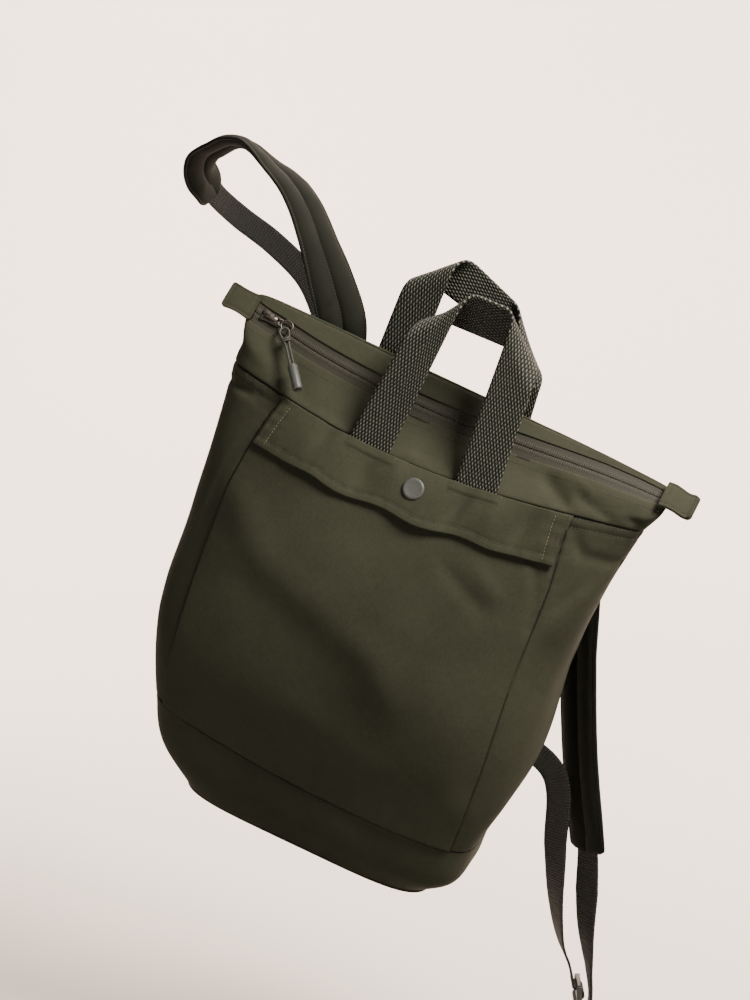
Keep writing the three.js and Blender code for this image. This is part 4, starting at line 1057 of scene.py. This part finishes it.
# Cord pull: a limp braided polyester cord, looped through the ring, its strands drawn together under
# a hitch and set into one moulded acetal end. The braid gives the eye a dull, knobbly line; its plait
# is drawn coarser than real to show.
PULL_HANG = Vector((0.41, -0.56, -0.78)).normalized()
PULL_DROP, PULL_LENGTH, PULL_RADIUS, PULL_OVER = 31, 0.07, 0.9, 2.5
PULL_NEAR, PULL_LOOP, PULL_LOOP_TOP, PLAIT = 1.3, 3.6, -1.6, 0.526
HITCH_WIDE, HITCH_HIGH, HITCH_CORD, HITCH_STEPS = 3.1, 1.75, 0.00082, 28
PULL_END = [
    (0, -0.2), (2.4, -0.2), (3.1, 0.0), (3.6, 0.5), (3.8, 1.3), (3.8, 19.6), (3.6, 20.4), (3.0, 20.9),
    (2.2, 21.0), (1.7, 20.6), (0, 20.4),
]
braid = grained(
    "braided_polyester", PLAIT, 1.0, "#1e1f1a", "#3f4038", {"Roughness": 0.65}, (0.35, 0.65), (0.5, 0.3),
)
pull_top = Vector(in_frame(ring_centre - across * RING_RADIUS) * 1000)
pull_lift = turned_axes[2] - PULL_HANG * turned_axes[2].dot(PULL_HANG)
pull_lift.normalize()
pull_side = PULL_HANG.cross(pull_lift)


def strand(aside, drop, height):
    return (pull_top + pull_side * aside + PULL_HANG * drop + pull_lift * height) / 1000


def loop_arc(degrees, height):
    angle = math.radians(degrees)
    drop = PULL_LOOP_TOP + PULL_LOOP * (1 - math.sin(angle))
    return (PULL_LOOP * math.cos(angle), drop, height * PULL_OVER)


half_loop = [
    (aside, share * PULL_DROP, PULL_OVER) for aside, share in (
        (PULL_NEAR, 1), (PULL_NEAR, 0.7), (PULL_NEAR, 0.47), (PULL_NEAR + 0.6, 0.32), (PULL_LOOP - 0.6, 0.18),
    )
] + [loop_arc(0, 0.95), loop_arc(30, 0.9), loop_arc(60, 0.84)]
mirrored = [(-aside, drop, height) for aside, drop, height in reversed(half_loop)]
cord_rows = [(*(strand(*row) * 1000), 0) for row in half_loop + [loop_arc(90, 0.72)] + mirrored]
cord_places, _, _ = smooth_run(cord_rows, 97)
curve = bpy.data.curves.new("pull_cord", "CURVE")
curve.dimensions = "3D"
curve.bevel_depth, curve.bevel_resolution, curve.use_fill_caps = PULL_RADIUS / 1000, 4, True
spline = curve.splines.new("POLY")
spline.points.add(len(cord_places) - 1)
for point, spot in zip(spline.points, cord_places / 1000):
    point.co = (*spot, 1)
curve.materials.append(braid)
pull_cord = linked("pull_cord", curve)
settle(pull_cord, "pull_cord", "puller_cord")

bm = bmesh.new()
for level, tilt in ((8.6, 0.5), (10.2, 0.3)):
    coil_line = [
        strand(HITCH_WIDE * math.cos(a), level + tilt * math.cos(a), PULL_OVER + HITCH_HIGH * math.sin(a))
        for a in np.linspace(0, 2 * math.pi, HITCH_STEPS + 1)
    ]
    edges = []
    for k in range(HITCH_STEPS):
        ahead = coil_line[(k + 1) % HITCH_STEPS] - coil_line[k - 1]
        basis = ahead.normalized().to_track_quat("Z", "Y").to_matrix().to_4x4()
        basis.translation = coil_line[k]
        made = bmesh.ops.create_circle(bm, segments=10, radius=HITCH_CORD, matrix=basis)
        edges.append({e for v in made["verts"] for e in v.link_edges})
    for k in range(HITCH_STEPS):
        bmesh.ops.bridge_loops(bm, edges=list(edges[k] | edges[(k + 1) % HITCH_STEPS]))
hitch = hard_piece("pull_hitch", bm, braid, "pull_cord")

end_matrix = PULL_HANG.to_track_quat("Z", "Y").to_matrix().to_4x4()
end_matrix.translation = strand(0, PULL_DROP + GAP, PULL_OVER)
cord_end = turned("pull_end", PULL_END, 28, end_matrix, acetal)
settle(cord_end, "grey_plastic", "puller_end")


# Adjusters: moulded black nylon frames, a bar across the middle and a slot on each side of it, where
# each strap's upper and lower webbing is threaded. The mould's fine grit gives the eye a soft gloss;
# it is drawn coarser than real to show.
ADJUSTER_WIDE, ADJUSTER_LONG, ADJUSTER_THICK, ADJUSTER_EDGE = 27, 18, 4.5, 0.0008
ADJUSTER_BAR, BAR_IN, BAR_HALF, BAR_THIN, NYLON_GRIT = 3.1, 2.4, 2.1, 0.4, 0.556
nylon = grained(
    "moulded_nylon", NYLON_GRIT, 2.0, "#0e0e0d", "#1b1b19", {"Roughness": 0.42}, bump=(0.12, 0.2),
)
for side, seat in ADJUSTERS.items():
    travel, out = Vector(seat["travel"]).normalized(), Vector(seat["face"])
    out = (out - travel * out.dot(travel)).normalized()
    matrix = Matrix((travel.cross(out), travel, out)).transposed().to_4x4()
    matrix.translation = Vector(seat["centre"])
    bm = bmesh.new()
    x, y, t = ADJUSTER_WIDE / 2, ADJUSTER_LONG / 2, ADJUSTER_THICK / 2
    for edge in (-1, 1):
        low, high = sorted((edge * x, edge * (x - ADJUSTER_BAR)))
        rail = [(low, -y + 1.2), (low, y - 1.2), (high, y - 0.2), (high, -y + 0.2)]
        slab(bm, rail[::-edge], -t, t, matrix)
    for low, high, thin in (
        (-y, -y + ADJUSTER_BAR, BAR_THIN), (-BAR_HALF, BAR_HALF, 0), (y - ADJUSTER_BAR, y, BAR_THIN),
    ):
        bar(bm, -x + BAR_IN, x - BAR_IN, low, high, -t + thin, t - thin, matrix)
    rounded(bm, ADJUSTER_EDGE, 3)
    hard_piece(f"adjuster_{side}_frame", bm, nylon, "black_plastic", "adjuster_" + side)
